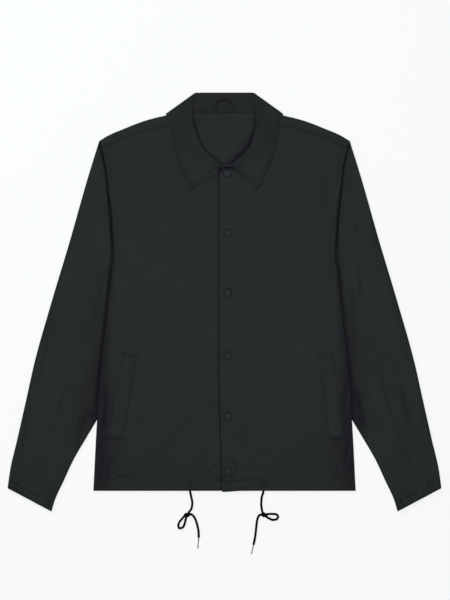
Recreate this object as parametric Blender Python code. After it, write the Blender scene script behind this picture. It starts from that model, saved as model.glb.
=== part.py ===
"""Coach jacket laid flat on its back, snapped shut, with its sleeves at its sides.

Lengths are in millimetres and become metres as each mesh is made. X runs across the jacket, Y from
hem to collar, and Z up from the surface it lies on. Every piece is a closed wall of cloth made from
two equal grids of points, its outer face and its inner face.
"""

import collections
import math

import bmesh
import bpy
import numpy as np

MM = 0.001

# Cloth and seams
WALL = 1.0  # body, sleeves and cuffs
FALL_WALL = 1.4  # turned-down part of the collar, two layers and a stiffener
STAND_WALL = 1.2
WELT_WALL = 1.2
SEAM_GAP = 0.4  # between the edges of two pieces that are sewn together
ARMHOLE_GAP = 0.8  # from the armhole seam to the sleeve
LAYER_GAP = 0.35  # between a layer and the one it lies on
COLLAR_GAP = 0.6  # between the collar's stand and its fall
FALL_CLEARANCE = 0.5  # the fall's free edge stands this much further off the front

# Heights above the surface
LOFT = 5.3  # outer face of the front over a back panel that lies on the surface
HEM_DROP = 1.1  # the layers press closer together at the hem
HEM_PRESS = (10.0, 60.0)  # fully up to this height above the hem, then less over this length
HEM_FOLD_FADE = 30.0  # the folds grow over this length above the hem's channel
FRONT_SHARE = 0.28  # share of the back panel's lift that shows on the front
COLLAR_LIFT = FALL_WALL + COLLAR_GAP  # back panel over the part of the collar folded behind it
SLEEVE_LIFT = 3.2  # back panel over the hidden part of a sleeve
VALLEY = 2.8  # sleeve where it goes under the body
CROWN = 5.8  # sleeve along its middle
ARMHOLE_REACH = 50.0  # the sleeve goes from the body's height to its own over this width
VALLEY_REACH = (3.0, 38.0)  # a covered sleeve starts to rise this far out, and rises over this width
SLEEVE_FOLD_FADE = 12.0  # a sleeve's folds grow over this width beside the body
SIDE_ROUND = 0.65  # radius of the turned side edge, as a share of the body's thickness
SIDE_INSET_REACH = 14.0  # the wall leans square to the turned edge over this width
CURL_FADE = 12.0  # the side edge changes from turned to open over this length at the underarm
SLEEVE_ROUND = 1.3  # radius of a sleeve's edge, as a share of half its thickness
LIFT_RAMP = 30.0  # the back panel climbs onto a layer over this length
LIFT_MARGIN = 12.0  # and is up on it this far before its edge
UNDERARM_FADE = 37.0  # the lift over a sleeve grows over this length below the underarm
ROLL_RISE = 5.0  # the collar stands up along its roll
ROLL_REACH = 32.0
ROLL_TOP_FADE = (390.0, 70.0)  # that rise ends at this y, after fading over this length
ROLL_FOOT_FADE = (242.0, 60.0)  # and it begins at this y

# Body
HEM_Y = -354.2
UNDERARM_Y = 92.0
HEM_CASING = 20.2  # height of the hem's drawcord channel
CASING_SWELL = 0.7
OVER_EDGE = -9.8  # edge of the upper front, which is the wearer's left
UNDER_EDGE = 20.0  # edge of the lower front
OVERLAP_FADE = 28.0
BRIDGE = (14.0, 12.0)  # the collar climbs onto the upper front from this far before its edge
HEM_SIDE_SPREAD = 24.0  # width beside the body's side that the even columns leave at the hem
EDGE_DRIFT = 5.5  # towards the hem the upper front's edge drifts this far to its own side
DRIFT_HEIGHT = 160.0
LAP_DROP = 2.0  # and its lower corner hangs this far below the rest of the hem
LAP_DROP_REACH = (45.0, 60.0)  # across and up

# Neck and collar
NECK_HALF = 84.6
NECK_TOP = 345.0
NECK_DROP = 94.0
NECK_SHIFT = 3.0  # the closed neck lies this far to the viewer's right at its lowest point
SEAM_NECK_Y = 338.6  # where the shoulder seam meets the neck
SEAM_TIP_Y = 290.4  # and where it meets the armhole
BACK_NECK_Y = 357.0
BACK_NECK_FLAT = 40.0  # the back neck seam is level up to here
NECK_TO_FOLD = 2.0  # from its ends to the shoulder fold
COLLAR_TOP = 394.0
FALL_BACK_Y = 327.0  # lower edge of the fall behind the back panel, at the centre
FALL_BACK_SLOPE = 1.5  # and its rise to the width beyond the shoulder
FOLD_START = (53.5, 392.6)  # fold at the side of the neck, from the collar's top corner
FOLD_END = (109.5, 352.0)
STAND_FOLD = 36.5  # length of the stand along that fold
FOLD_FOOT = (81.8, 369.3)  # where the stand's lower edge meets the fold
STAND_GAP = 3.7  # from the roll to the stand's upper edge
STAND_LAP = (4.0, -2.0, -8.6)  # the stand's upper front end runs on past the centre front
COLLAR_END = 9.4  # from the centre front to where the roll ends

# Sleeves
ARM_TOP_Y = 302.7
WRIST_OUTER_Y = -350.0
WRIST_SLANT = 44.0  # how far the inner end of the wrist lies below its outer end
SLEEVE_LENGTH = 674.0  # along the outer edge
TURN_SHARE = 0.45  # the sections turn square to the sleeve over this share of its length
TURN_POWER = 1.6
BOW_SHARE = 0.3  # and they lose the armhole's bow over this one
CUFF = 15.0  # height of the elastic casing at the wrist
CUFF_SWELL = 0.7
CUFF_PUCKERS = 5
PUCKER_RISE = 0.55
PUCKER_REACH = 0.12  # share of the sleeve's length that the gathers run up

# Trim
SNAP_RADIUS = 6.4
TAPE_WIDTH = 4.5
TAPE_WALL = 1.0
CORD = 3.8
KNOT = (12.0, 9.5, 7.0)
TIP_RADIUS = 1.5

CLOTH_COLOUR = (0.021, 0.025, 0.026)
COLLAR_COLOUR = (0.019, 0.022, 0.024)
CORD_COLOUR = (0.012, 0.012, 0.013)
SNAP_COLOUR = (0.024, 0.027, 0.029)
TIP_COLOUR = (0.62, 0.62, 0.63)

# Side of the body: the side seam up to the underarm, then the armhole seam
BODY_SIDE = (  # y, half width
    (-355.0, 246.8),
    (-278.0, 243.0),
    (-221.8, 239.8),
    (-171.0, 237.2),
    (-110.9, 231.5),
    (-50.8, 224.9),
    (0.0, 219.4),
    (60.2, 213.0),
    (99.6, 209.9),
    (139.1, 211.7),
    (178.6, 215.0),
    (214.3, 219.5),
    (255.7, 224.4),
    (302.7, 235.5),
)
SHOULDER_FOLD = (  # x, y
    (84.3, 370.3),
    (96.0, 361.0),
    (109.0, 351.6),
    (126.9, 347.2),
    (145.7, 342.2),
    (162.6, 336.5),
    (190.8, 325.2),
    (217.1, 314.0),
    (235.9, 302.7),
)
# The seam lies in front of the fold, because the back panel wraps over the shoulder
SHOULDER_SEAM = (  # x, y
    (84.6, SEAM_NECK_Y),
    (102.3, 333.9),
    (167.3, 316.6),
    (191.8, 306.8),
    (219.6, 295.7),
    (236.0, 289.2),
)
SLEEVE_OUTER = (  # y, x
    (WRIST_OUTER_Y, 408.0),
    (-315.8, 403.3),
    (-259.0, 390.1),
    (-184.0, 373.2),
    (-109.0, 356.3),
    (3.8, 324.3),
    (116.6, 290.5),
    (229.4, 258.5),
    (302.7, 235.9),
)
# The sleeve's other edge runs under the body below the underarm and comes out again above the hem
SLEEVE_INNER = (  # y, x
    (WRIST_OUTER_Y - WRIST_SLANT, 325.3),
    (-372.0, 318.7),
    (-335.0, 301.7),
    (-297.0, 284.0),
    (-259.0, 262.0),
    (-222.0, 240.0),
    (-190.0, 223.0),
    (-150.0, 204.0),
    (-100.0, 182.0),
    (-60.0, 173.0),
    (-20.0, 178.0),
    (10.0, 190.0),
    (35.0, 203.0),
    (55.0, 212.4),
    (72.0, 213.6),
    (92.0, 212.0),
)
ROLL = (  # x, y: where the collar turns over, from its top corner to the centre front
    (52.3, 391.0),
    (55.5, 385.0),
    (57.0, 366.0),
    (56.8, 351.6),
    (53.6, 325.0),
    (45.0, 302.5),
    (31.0, 282.0),
    (17.0, 266.5),
    (COLLAR_END, 259.5),
)
FALL_EDGE = (  # x, y: free edge of the collar, from the shoulder to its point
    (108.3, 350.4),
    (104.3, 342.0),
    (98.5, 318.0),
    (94.0, 289.5),
    (87.0, 267.0),
    (75.8, 242.5),
    (65.8, 220.0),
    (59.0, 213.0),
)
SNAPS = (  # x, y
    (4.8, 241.6),
    (5.8, 129.8),
    (5.8, 17.5),
    (5.8, -101.0),
    (7.0, -215.0),
    (7.2, -318.6),
)
WELT_CORNERS = (  # end, inner x, inner y, outer x, outer y
    ("top", 170.7, -99.7, 197.7, -94.0),
    ("bottom", 192.0, -256.0, 218.0, -252.8),
)
LOOP_PATH = (  # x, y: hanger tape inside the back of the neck
    (-16.0, 359.5),
    (-17.0, 369.0),
    (-11.0, 377.5),
    (2.0, 380.0),
    (11.0, 377.0),
    (16.5, 368.5),
    (21.0, 359.5),
)
# Soft folds that the cloth holds: ridges and troughs between two points
BODY_FOLDS = (  # x0, y0, x1, y1, half width, height
    (206.0, -196.0, 236.0, -120.0, 9.0, 0.7),
    (226.0, -330.0, 240.0, -255.0, 8.0, 0.8),
    (150.0, -300.0, 60.0, -210.0, 26.0, 0.5),
    (196.0, 60.0, 120.0, 160.0, 22.0, 0.5),
)
SLEEVE_FOLDS = (  # x0, y0, x1, y1, half width, height
    (262.0, 210.0, 286.0, 40.0, 9.0, 0.9),
    (250.0, 150.0, 264.0, 0.0, 8.0, -0.8),
    (300.0, 60.0, 346.0, -150.0, 9.0, 0.9),
    (268.0, -20.0, 318.0, -210.0, 9.0, -0.8),
    (290.0, -150.0, 342.0, -330.0, 9.0, 0.8),
    (356.0, -170.0, 384.0, -300.0, 8.0, 0.7),
)
# Routes of the drawcord's stretches: each from the hem to a knot, round a loop, or on to a metal tip
CORDS = {  # side: stretch: x, y, z
    "right": {
        "lead": ((-64.8, -354.9, 2.3), (-62.4, -367.1, 2.0), (-60.6, -378.4, 2.0), (-62.0, -388.0, 2.0),
                 (-67.2, -395.6, 2.4)),
        "loop": ((-75.9, -401.7, 2.4), (-81.2, -406.6, 2.0), (-87.0, -412.8, 2.0), (-90.6, -420.0, 2.0),
                 (-87.0, -426.6, 2.0), (-79.8, -425.2, 2.0), (-74.4, -417.2, 2.0), (-71.2, -405.4, 2.4)),
        "tail": ((-63.3, -399.4, 2.4), (-59.0, -402.0, 2.0), (-54.4, -409.8, 2.0), (-51.1, -420.6, 2.0),
                 (-48.9, -432.0, 2.0), (-48.5, -443.4, 2.0)),
        "tip": ((-48.5, -443.8, 2.0), (-50.4, -464.5, 2.0)),
    },
    "left": {
        "lead": ((73.1, -355.4, 2.3), (69.9, -367.9, 2.0), (69.0, -380.3, 2.0), (70.0, -389.0, 2.1),
                 (71.2, -394.9, 2.4)),
        "loop": ((80.7, -398.0, 2.4), (88.0, -396.2, 2.0), (96.0, -396.6, 2.0), (101.4, -402.4, 2.0),
                 (98.4, -409.0, 2.0), (91.4, -410.8, 2.0), (84.6, -408.2, 2.0), (79.0, -404.4, 2.4)),
        "tail": ((67.7, -400.2, 2.4), (64.2, -402.6, 2.0), (61.4, -410.3, 2.0), (59.8, -422.4, 2.0),
                 (58.1, -438.2, 2.0), (56.0, -450.5, 2.0), (54.5, -456.6, 2.0)),
        "tip": ((54.4, -457.0, 2.0), (50.4, -474.7, 2.0)),
    },
}
KNOT_PLACES = {"right": (-69.9, -399.9, 3.6), "left": (74.4, -399.9, 3.6)}

# Where the grids have their rows and columns
HEM_ROWS = (0.0, 3.0, 10.0, 17.0, HEM_CASING, 26.0)
FRONT_ROWS = (60.0, 110.0, 160.0, 210.0, 260.0, 310.0, 360.0, 405.0, 438.0, 462.0, 490.0, 520.0,
              548.0, 572.0, 592.0, 610.0, 627.0, 644.6)
BACK_ROWS = (60.0, 105.0, 150.0, 195.0, 240.0, 285.0, 320.0, 350.0, 376.0, 402.0, 428.0, 455.0, 500.0,
             550.0, 600.0, 635.0, 668.0, 700.0)
NECK_COLUMNS = (0.0, 13.0, 27.0, 42.0, 58.0, 74.0)  # angles round the front neck, in degrees
BACK_NECK_X = (0.0, 20.0, 40.0, 61.0, NECK_HALF)
SHOULDER_COLUMNS = (97.0, 110.0, 128.0, 148.0, 170.0, 192.0, 210.0)
SIDE_COLUMNS = (9.0, 4.0, 1.2, 0.0)  # distances from the side
WRAP_TURNS = (60.0, 120.0, 180.0)
SLEEVE_SHARES = (0.0, 0.05, 0.105, 0.165, 0.23, 0.3, 0.38, 0.46, 0.55, 0.64, 0.73, 0.82, 0.9, 0.95)
COLLAR_SHARES = (1.0, 0.93, 0.84, 0.74, 0.64, 0.54, 0.44, 0.34, 0.24, 0.15, 0.07)
COLLAR_TURNS = (0.0, 45.0, 90.0, 135.0, 180.0)
COLLAR_BACK_SHARES = (0.22, 0.45, 0.72, 1.0)
SLEEVE_POINTS = 9  # evenly spaced columns across a sleeve, between the ones at its edges
SLEEVE_EDGES = (0.0, 0.9, 3.2)  # distances of those from the edge
FALL_SHARES = (0.13, 0.28, 0.45, 0.7, 1.0)
STAND_SHARES = (0.0, 0.33, 0.66, 1.0)
CORNER_TRIM = 4.4  # the folded collar is cut level across its top corner
BACK_ROLL_INSET = 5.0  # behind the neck the roll's first line lies this far in from the corner
BACK_FALL_INSET = 1.2  # and the fall's this far in from the fold
WELT_ROWS = 8
WELT_COLUMNS = (0.0, 0.1, 0.9, 1.0)  # shares of the welt's width
WELT_EDGE = 0.5  # its long edges are this much thinner
LIP_SHARE = 0.3  # the roll's lip has a row at this share of its radius
LIP_TIP = 0.5  # half the thickness of its tip
CORD_PITCH = 2.2  # from one point of a cord to the next, in diameters


def smooth(t):
    """0 below 0, 1 above 1 and an S-curve between."""
    t = np.clip(t, 0.0, 1.0)
    return t * t * (3.0 - 2.0 * t)


def arc(t):
    """Height of a quarter round at t of its width: 0 at 0 and 1 from 1 on."""
    return np.sqrt(1.0 - (1.0 - np.clip(t, 0.0, 1.0)) ** 2)


def through(table):
    """A smooth curve through a table's points that never swings past them."""
    xs, ys = (np.array(column, float) for column in zip(*table))
    steps = np.diff(xs)
    slopes = np.diff(ys) / steps
    before, after = slopes[:-1], slopes[1:]
    agree = before * after > 0
    total = np.where(agree, before + after, 1.0)
    middle = np.where(agree, 2.0 * before * after / total, 0.0)
    tangents = np.concatenate([slopes[:1], middle, slopes[-1:]])

    def at(x):
        x = np.clip(x, xs[0], xs[-1])
        i = np.clip(np.searchsorted(xs, x) - 1, 0, len(steps) - 1)
        h = steps[i]
        t = (x - xs[i]) / h
        start = (1 + 2 * t) * (1 - t) ** 2 * ys[i] + t * (1 - t) ** 2 * h * tangents[i]
        end = t * t * (3 - 2 * t) * ys[i + 1] - t * t * (1 - t) * h * tangents[i + 1]
        return start + end

    return at


def route(points):
    """The curve through points as a function of the share of its length, from 0 to 1."""
    points = np.array(points, float)
    reach = np.concatenate([[0.0], np.cumsum(np.linalg.norm(np.diff(points, axis=0), axis=1))])
    axes = [through(list(zip(reach, column))) for column in points.T]
    return lambda share: np.stack([axis(np.asarray(share) * reach[-1]) for axis in axes], axis=-1)


half_width = through(BODY_SIDE)
shoulder_fold = through(SHOULDER_FOLD)
shoulder_seam = through(SHOULDER_SEAM)
sleeve_outer = through(SLEEVE_OUTER)
sleeve_inner = through(SLEEVE_INNER)
roll_line = route(ROLL)
fall_edge = route(FALL_EDGE)
loop_path = route(LOOP_PATH)


def neck_shift(y):
    return NECK_SHIFT * np.clip((NECK_TOP - y) / NECK_DROP, 0.0, 1.0)


def back_neck(x):
    """Height of the neck seam on the back panel."""
    top = shoulder_fold(NECK_HALF) - NECK_TO_FOLD
    climb = smooth((np.abs(x) - BACK_NECK_FLAT) / (NECK_HALF - BACK_NECK_FLAT))
    return BACK_NECK_Y + (top - BACK_NECK_Y) * climb


def fall_back_edge(x):
    """Lower edge of the fall behind the back panel, and its line beyond the shoulder."""
    x = np.abs(x)
    end = FOLD_END[0]
    rise = FOLD_END[1] - FALL_BACK_Y
    beyond = FALL_BACK_SLOPE * np.maximum(x - end, 0.0)
    return FALL_BACK_Y + rise * (np.minimum(x, end) / end) ** 2 + beyond


def fold_height(folds, x, y):
    """Sum of the soft ridges and troughs of a table of folds at |x|, y."""
    total = np.zeros(np.broadcast(x, y).shape)
    for x0, y0, x1, y1, width, height in folds:
        along = ((x - x0) * (x1 - x0) + (y - y0) * (y1 - y0)) / ((x1 - x0) ** 2 + (y1 - y0) ** 2)
        t = np.clip(along, 0.0, 1.0)
        distance = np.hypot(x - x0 - t * (x1 - x0), y - y0 - t * (y1 - y0))
        ends = smooth((along + 0.25) / 0.5) * smooth((1.25 - along) / 0.5)
        total += height * ends * np.exp(-((distance / width) ** 2))
    return total


def roll_rise(x, y):
    """How far the collar's roll lifts the cloth at x, y."""
    samples = roll_line(np.linspace(0.0, 1.0, 60))
    across = np.abs(x - neck_shift(y))[..., None] - samples[:, 0]
    distance = np.min(np.hypot(across, np.asarray(y)[..., None] - samples[:, 1]), axis=-1)
    (top, top_fade), (foot, foot_fade) = ROLL_TOP_FADE, ROLL_FOOT_FADE
    strength = smooth((top - y) / top_fade) * smooth((y - foot) / foot_fade)
    return ROLL_RISE * strength * np.exp(-((distance / ROLL_REACH) ** 2))


def back_bottom(x, y):
    """Underside of the back panel: flat, but lifted over the sleeves and the folded collar."""
    ax = np.abs(x)
    side = smooth((ax - sleeve_inner(y) + LIFT_MARGIN + LIFT_RAMP) / LIFT_RAMP)
    side = side * smooth((UNDERARM_Y - y) / UNDERARM_FADE)
    collar = smooth((y - fall_back_edge(x) + LIFT_MARGIN + LIFT_RAMP) / LIFT_RAMP)
    return SLEEVE_LIFT * side + COLLAR_LIFT * collar


def casing_swell(rise):
    """Swelling of the hem's channel, pinched at its stitch line, at a height above the hem."""
    return CASING_SWELL * np.sin(np.pi * np.clip(rise / HEM_CASING, 0.0, 1.0)) ** 0.5


def single_front(x, y):
    """Outer face of one front layer."""
    rise = y - HEM_Y
    pressed, reach = HEM_PRESS
    press = HEM_DROP * (1.0 - smooth((rise - pressed) / reach))
    folds = fold_height(BODY_FOLDS, np.abs(x), y) * smooth((rise - HEM_CASING) / HEM_FOLD_FADE)
    return LOFT + FRONT_SHARE * back_bottom(x, y) - press + folds + roll_rise(x, y)


def over_front(x, y):
    """Outer face of the upper front, which lies on the lower one and settles beside it."""
    overlap = 1.0 - smooth((x - UNDER_EDGE - 2.0) / OVERLAP_FADE)
    return single_front(x, y) + (WALL + LAYER_GAP + casing_swell(y - HEM_Y)) * overlap


def front_top(x, y):
    """Topmost face of the fronts, bridging the step at the upper front's edge."""
    before, width = BRIDGE
    bridge = smooth((x - OVER_EDGE + before) / width)
    bare = single_front(x, y) + (WALL + LAYER_GAP) * bridge
    return np.where(x < OVER_EDGE, bare, over_front(x, y))


def sleeve_top(x, y):
    """Outer face of a sleeve: level with the body at the armhole, low where the body covers it."""
    out = x - half_width(y)
    level = single_front(half_width(y), y)
    joined = level + (CROWN - level) * smooth(out / ARMHOLE_REACH)
    start, width = VALLEY_REACH
    covered = VALLEY + (CROWN - VALLEY) * smooth((out - start) / width)
    blend = smooth((y - UNDERARM_Y) / UNDERARM_FADE + 1.0)
    folds = fold_height(SLEEVE_FOLDS, x, y) * smooth(out / SLEEVE_FOLD_FADE)
    return covered + (joined - covered) * blend + folds


def material(name, colour, roughness, metallic=0.0):
    made = bpy.data.materials.new(name)
    made.use_nodes = True
    shader = made.node_tree.nodes["Principled BSDF"]
    shader.inputs["Base Color"].default_value = (*colour, 1.0)
    shader.inputs["Roughness"].default_value = roughness
    shader.inputs["Metallic"].default_value = metallic
    made.diffuse_color = (*colour, 1.0)
    return made


def add_object(name, points, faces, finish):
    """A mesh object with outward faces, from points in millimetres."""
    mesh = bpy.data.meshes.new(name)
    mesh.from_pydata((np.asarray(points) * MM).tolist(), [], faces)
    form = bmesh.new()
    form.from_mesh(mesh)
    unused = [vertex for vertex in form.verts if not vertex.link_faces]
    bmesh.ops.delete(form, geom=unused, context="VERTS")
    bmesh.ops.recalc_face_normals(form, faces=form.faces)
    form.to_mesh(mesh)
    form.free()
    mesh.shade_smooth()
    mesh.set_sharp_from_angle(angle=math.radians(50.0))
    mesh.materials.append(finish)
    made = bpy.data.objects.new(name, mesh)
    bpy.context.collection.objects.link(made)
    return made


def add_wall(name, outer, inner, finish, ring=False, missing=()):
    """A closed wall between two grids of rows and columns; ring joins the last column to the first."""
    rows, columns = outer.shape[:2]
    count = rows * columns
    cells = []
    for row in range(rows - 1):
        for column in range(columns if ring else columns - 1):
            if (row, column) in missing:
                continue
            after = (column + 1) % columns
            low, high = row * columns, (row + 1) * columns
            cells.append((low + column, low + after, high + after, high + column))
    border = set()
    for cell in cells:
        for a, b in zip(cell, cell[1:] + cell[:1]):
            if (b, a) in border:
                border.remove((b, a))
            else:
                border.add((a, b))
    faces = cells + [tuple(i + count for i in reversed(cell)) for cell in cells]
    faces += [(b, a, a + count, b + count) for a, b in sorted(border)]
    points = np.concatenate([outer.reshape(-1, 3), inner.reshape(-1, 3)])
    return add_object(name, points, faces, finish)


def side_curl(y):
    """1 where the front and back panels turn in to meet at the side seam, 0 along the armhole."""
    return smooth((UNDERARM_Y - y) / CURL_FADE + 0.5)


def curled(x, y, face, other):
    """Outer and inner points of a panel whose side edge turns in, halfway to the opposite panel.

    face and other are the heights of this panel's outer face and of the opposite panel's.
    """
    toward = np.sign(face - other)
    seam = (face + other) / 2.0 + toward * SEAM_GAP / 2.0
    radius = SIDE_ROUND * np.abs(face - other)
    curl = side_curl(y)
    depth = np.maximum(half_width(y) - SEAM_GAP / 2.0 - np.abs(x), 0.0)
    inset = WALL * curl * (1.0 - smooth(depth / SIDE_INSET_REACH))
    inner_x = x - np.sign(x) * inset
    turn_out = 1.0 - curl * (1.0 - arc(depth / radius))
    inner_depth = np.maximum(depth + inset - WALL * curl, 0.0)
    turn_in = 1.0 - curl * (1.0 - arc(inner_depth / radius))
    outer_z = seam + (face - seam) * turn_out
    inner_z = seam + (face - toward * WALL - seam) * turn_in
    return np.stack([x, y, outer_z], -1), np.stack([inner_x, y, inner_z], -1)


def neck_edge(side, angles, inside=0.0):
    """Points of the front neck seam, at angles from the centre front, or a little inside the neck."""
    x = side * (NECK_HALF - inside) * np.sin(angles) + NECK_SHIFT * np.cos(angles)
    return np.stack([x, NECK_TOP - (NECK_DROP - inside) * np.cos(angles)], -1)


def neck_angles(side, edge):
    """Angles of a front's columns along the neck, from its free edge to the shoulder seam."""
    start = math.asin((edge * side - NECK_SHIFT) * side / NECK_HALF)
    last = math.acos((NECK_TOP - SEAM_NECK_Y) / NECK_DROP)
    return np.array([start, *np.radians(NECK_COLUMNS), last])


def shoulder_columns():
    """Places of the columns that the front and the back share along the shoulder seam."""
    corner = half_width(SEAM_TIP_Y) - SEAM_GAP / 2.0
    return np.array([*SHOULDER_COLUMNS, *(corner - np.array(SIDE_COLUMNS))])


def lapped(x, y, edge):
    """Points of the upper front, moved as its free edge drifts and its lower corner hangs."""
    rise = y - HEM_Y
    across, up = LAP_DROP_REACH
    near_edge = 1.0 - smooth((x - edge) / across)
    drift = EDGE_DRIFT * near_edge * (1.0 - smooth(rise / DRIFT_HEIGHT))
    return x + drift, y - LAP_DROP * near_edge * (1.0 - smooth(rise / up))


def add_front(name, side, edge, finish):
    """One front, from its hem channel up to the neck and the shoulder seam; edge is its free edge."""
    neck = neck_edge(side, neck_angles(side, edge))
    seam_x = shoulder_columns()
    top_x = np.concatenate([neck[:, 0] * side, seam_x])
    top_y = np.concatenate([neck[:, 1], shoulder_seam(seam_x)]) - SEAM_GAP / 2.0
    corner = half_width(HEM_Y) - SEAM_GAP / 2.0
    spread = np.linspace(edge, corner - HEM_SIDE_SPREAD, len(top_x) - len(SIDE_COLUMNS))
    hem_x = np.concatenate([spread, corner - np.array(SIDE_COLUMNS)])
    share = (hem_x - edge) / (corner - edge)
    height = np.array([*HEM_ROWS, *FRONT_ROWS])[:, None] / FRONT_ROWS[-1]
    side_y = HEM_Y + (top_y[-1] - HEM_Y) * height
    bulge = half_width(side_y) - SEAM_GAP / 2.0 - (1.0 - height) * hem_x[-1] - height * top_x[-1]
    x = side * ((1.0 - height) * hem_x + height * top_x + share * bulge)
    y = (1.0 - height) * HEM_Y + height * top_y
    top = over_front(x, y) if side > 0 else single_front(x, y)
    swell = casing_swell(y - HEM_Y)
    if side > 0:
        x, y = lapped(x, y, edge)
    outer, inner = curled(x, y, top, back_bottom(x, y))
    outer[..., 2] += swell
    return add_wall(name, outer, inner, finish)


def add_back(finish):
    """The back panel, which wraps over the shoulders to the seam in front of them."""
    corner = half_width(SHOULDER_FOLD[-1][1]) - SEAM_GAP / 2.0
    seam_x = shoulder_columns()
    places = [*BACK_NECK_X, *seam_x]
    tops = [*BACK_NECK_X, *(seam_x * corner / seam_x[-1])]
    first_wrapped = len(BACK_NECK_X) - 1
    tops[first_wrapped] = NECK_HALF
    rows = np.array([*HEM_ROWS, *BACK_ROWS]) / BACK_ROWS[-1]
    half_out, half_in = [], []
    for column, (seam_place, top_x) in enumerate(zip(places, tops)):
        fold_y = shoulder_fold(top_x)
        bottom, top = back_bottom(top_x, fold_y), single_front(top_x, fold_y)
        radius, middle = (top - bottom) / 2.0, (top + bottom) / 2.0
        end_y = back_neck(top_x) if column < first_wrapped else fold_y - radius
        y = HEM_Y + (end_y - HEM_Y) * rows
        x = top_x / corner * (half_width(y) - SEAM_GAP / 2.0)
        outer, inner = curled(x, y, back_bottom(x, y), single_front(x, y))
        path_out, path_in = list(outer), list(inner)
        for turn in np.radians(WRAP_TURNS):
            for path, size in ((path_out, radius), (path_in, radius - WALL)):
                path.append((top_x, fold_y - radius + size * math.sin(turn), middle - size * math.cos(turn)))
        seam_y = shoulder_seam(seam_place) + SEAM_GAP / 2.0
        for stretch in (0.5, 1.0):
            place = top_x + (seam_place - top_x) * stretch
            height = fold_y - radius + (seam_y - fold_y + radius) * stretch
            face = single_front(np.array(place), np.array(height))
            path_out.append((place, height, face))
            path_in.append((place, height, face - WALL))
        half_out.append(path_out)
        half_in.append(path_in)
    grids = []
    for half in (half_out, half_in):
        half = np.array(half, float)
        mirrored = half[:0:-1] * (-1.0, 1.0, 1.0)
        grids.append(np.concatenate([mirrored, half]).transpose(1, 0, 2))
    centre = len(places) - 1
    open_columns = range(centre - first_wrapped, centre + first_wrapped)
    missing = {(row, column) for row in range(len(rows) - 1, len(grids[0]) - 1) for column in open_columns}
    return add_wall("back", grids[0], grids[1], finish, missing=missing)


def sleeve_section(share):
    """Inner and outer end of a sleeve's section: armhole at 0, turning square to the wrist at 1."""
    outer_y = ARM_TOP_Y + (WRIST_OUTER_Y - ARM_TOP_Y) * share
    turn = max(0.0, 1.0 - share / TURN_SHARE) ** TURN_POWER
    inner_y = outer_y - WRIST_SLANT - (ARM_TOP_Y - UNDERARM_Y - WRIST_SLANT) * turn
    return np.array([sleeve_inner(inner_y), inner_y]), np.array([sleeve_outer(outer_y), outer_y])


def sleeve_ring(share, places, swell=0.0):
    """Outer and inner points round a sleeve's section; places are the shares across its width."""
    start, end = sleeve_section(share)
    width = np.linalg.norm(end - start)
    q = np.array(places)
    armhole_y = UNDERARM_Y + (ARM_TOP_Y - UNDERARM_Y) * q
    first, last = sleeve_section(0.0)
    bow = half_width(armhole_y) + ARMHOLE_GAP - (first[0] + (last[0] - first[0]) * q)
    gather = smooth((share - 1.0 + PUCKER_REACH) / PUCKER_REACH)
    rings = []
    for inset in (0.0, WALL):
        reach = inset + (width - 2.0 * inset) * q
        plan = start + (end - start) * (reach / width)[:, None]
        plan[:, 0] += bow * (1.0 - smooth(share / BOW_SHARE))
        x, y = plan[:, 0], plan[:, 1]
        crown = sleeve_top(x, y) + swell
        crown = crown + gather * PUCKER_RISE * np.cos(2.0 * np.pi * CUFF_PUCKERS * q)
        edges = np.where(q < 0.5, crown[0], crown[-1]) / 2.0
        depth = np.minimum(q, 1.0 - q) * width
        turn = arc(depth / (SLEEVE_ROUND * edges))
        upper = edges + (crown - inset - edges) * turn
        lower = edges - (edges - inset) * turn
        top = np.stack([x, y, upper], -1)
        under = np.stack([x, y, lower], -1)[::-1]
        rings.append(np.concatenate([top, under[1:-1]]))
    return rings


def ring_places(width, interior):
    """Shares across a section of that width: two close to each edge and the rest evenly spaced."""
    near = np.array(SLEEVE_EDGES) / width
    middle = np.linspace(near[-1], 1.0 - near[-1], interior + 2)[1:-1]
    return np.concatenate([near, middle, 1.0 - near[::-1]])


def add_tube(name, side, shares, interior, swells, finish):
    """A length of sleeve or its cuff, as a wall round its sections."""
    outer, inner = [], []
    for share, swell in zip(shares, swells):
        start, end = sleeve_section(share)
        places = ring_places(np.linalg.norm(end - start), interior)
        ring_out, ring_in = sleeve_ring(share, places, swell)
        outer.append(ring_out)
        inner.append(ring_in)
    flip = np.array([side, 1.0, 1.0])
    return add_wall(name, np.array(outer) * flip, np.array(inner) * flip, finish, ring=True)


def along(points, share):
    """The point at a share of the way along straight runs between points."""
    reach = np.concatenate([[0.0], np.cumsum(np.linalg.norm(np.diff(points, axis=0), axis=1))])
    return np.array([np.interp(share * reach[-1], reach, column) for column in points.T])


def neck_run(side):
    """The stand's lower edge on one side of the front, from the fold at the neck to the collar's end."""
    inside = neck_edge(side, neck_angles(side, OVER_EDGE)[:0:-1], SEAM_GAP)
    below, above = inside[-1], inside[-2]
    share = COLLAR_END / abs(above[0] - below[0])
    inside[-1] = below + (above - below) * share
    return np.concatenate([[(side * FOLD_FOOT[0], FOLD_FOOT[1])], inside])


Line = collections.namedtuple("Line", "layer turn side start end")


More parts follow.
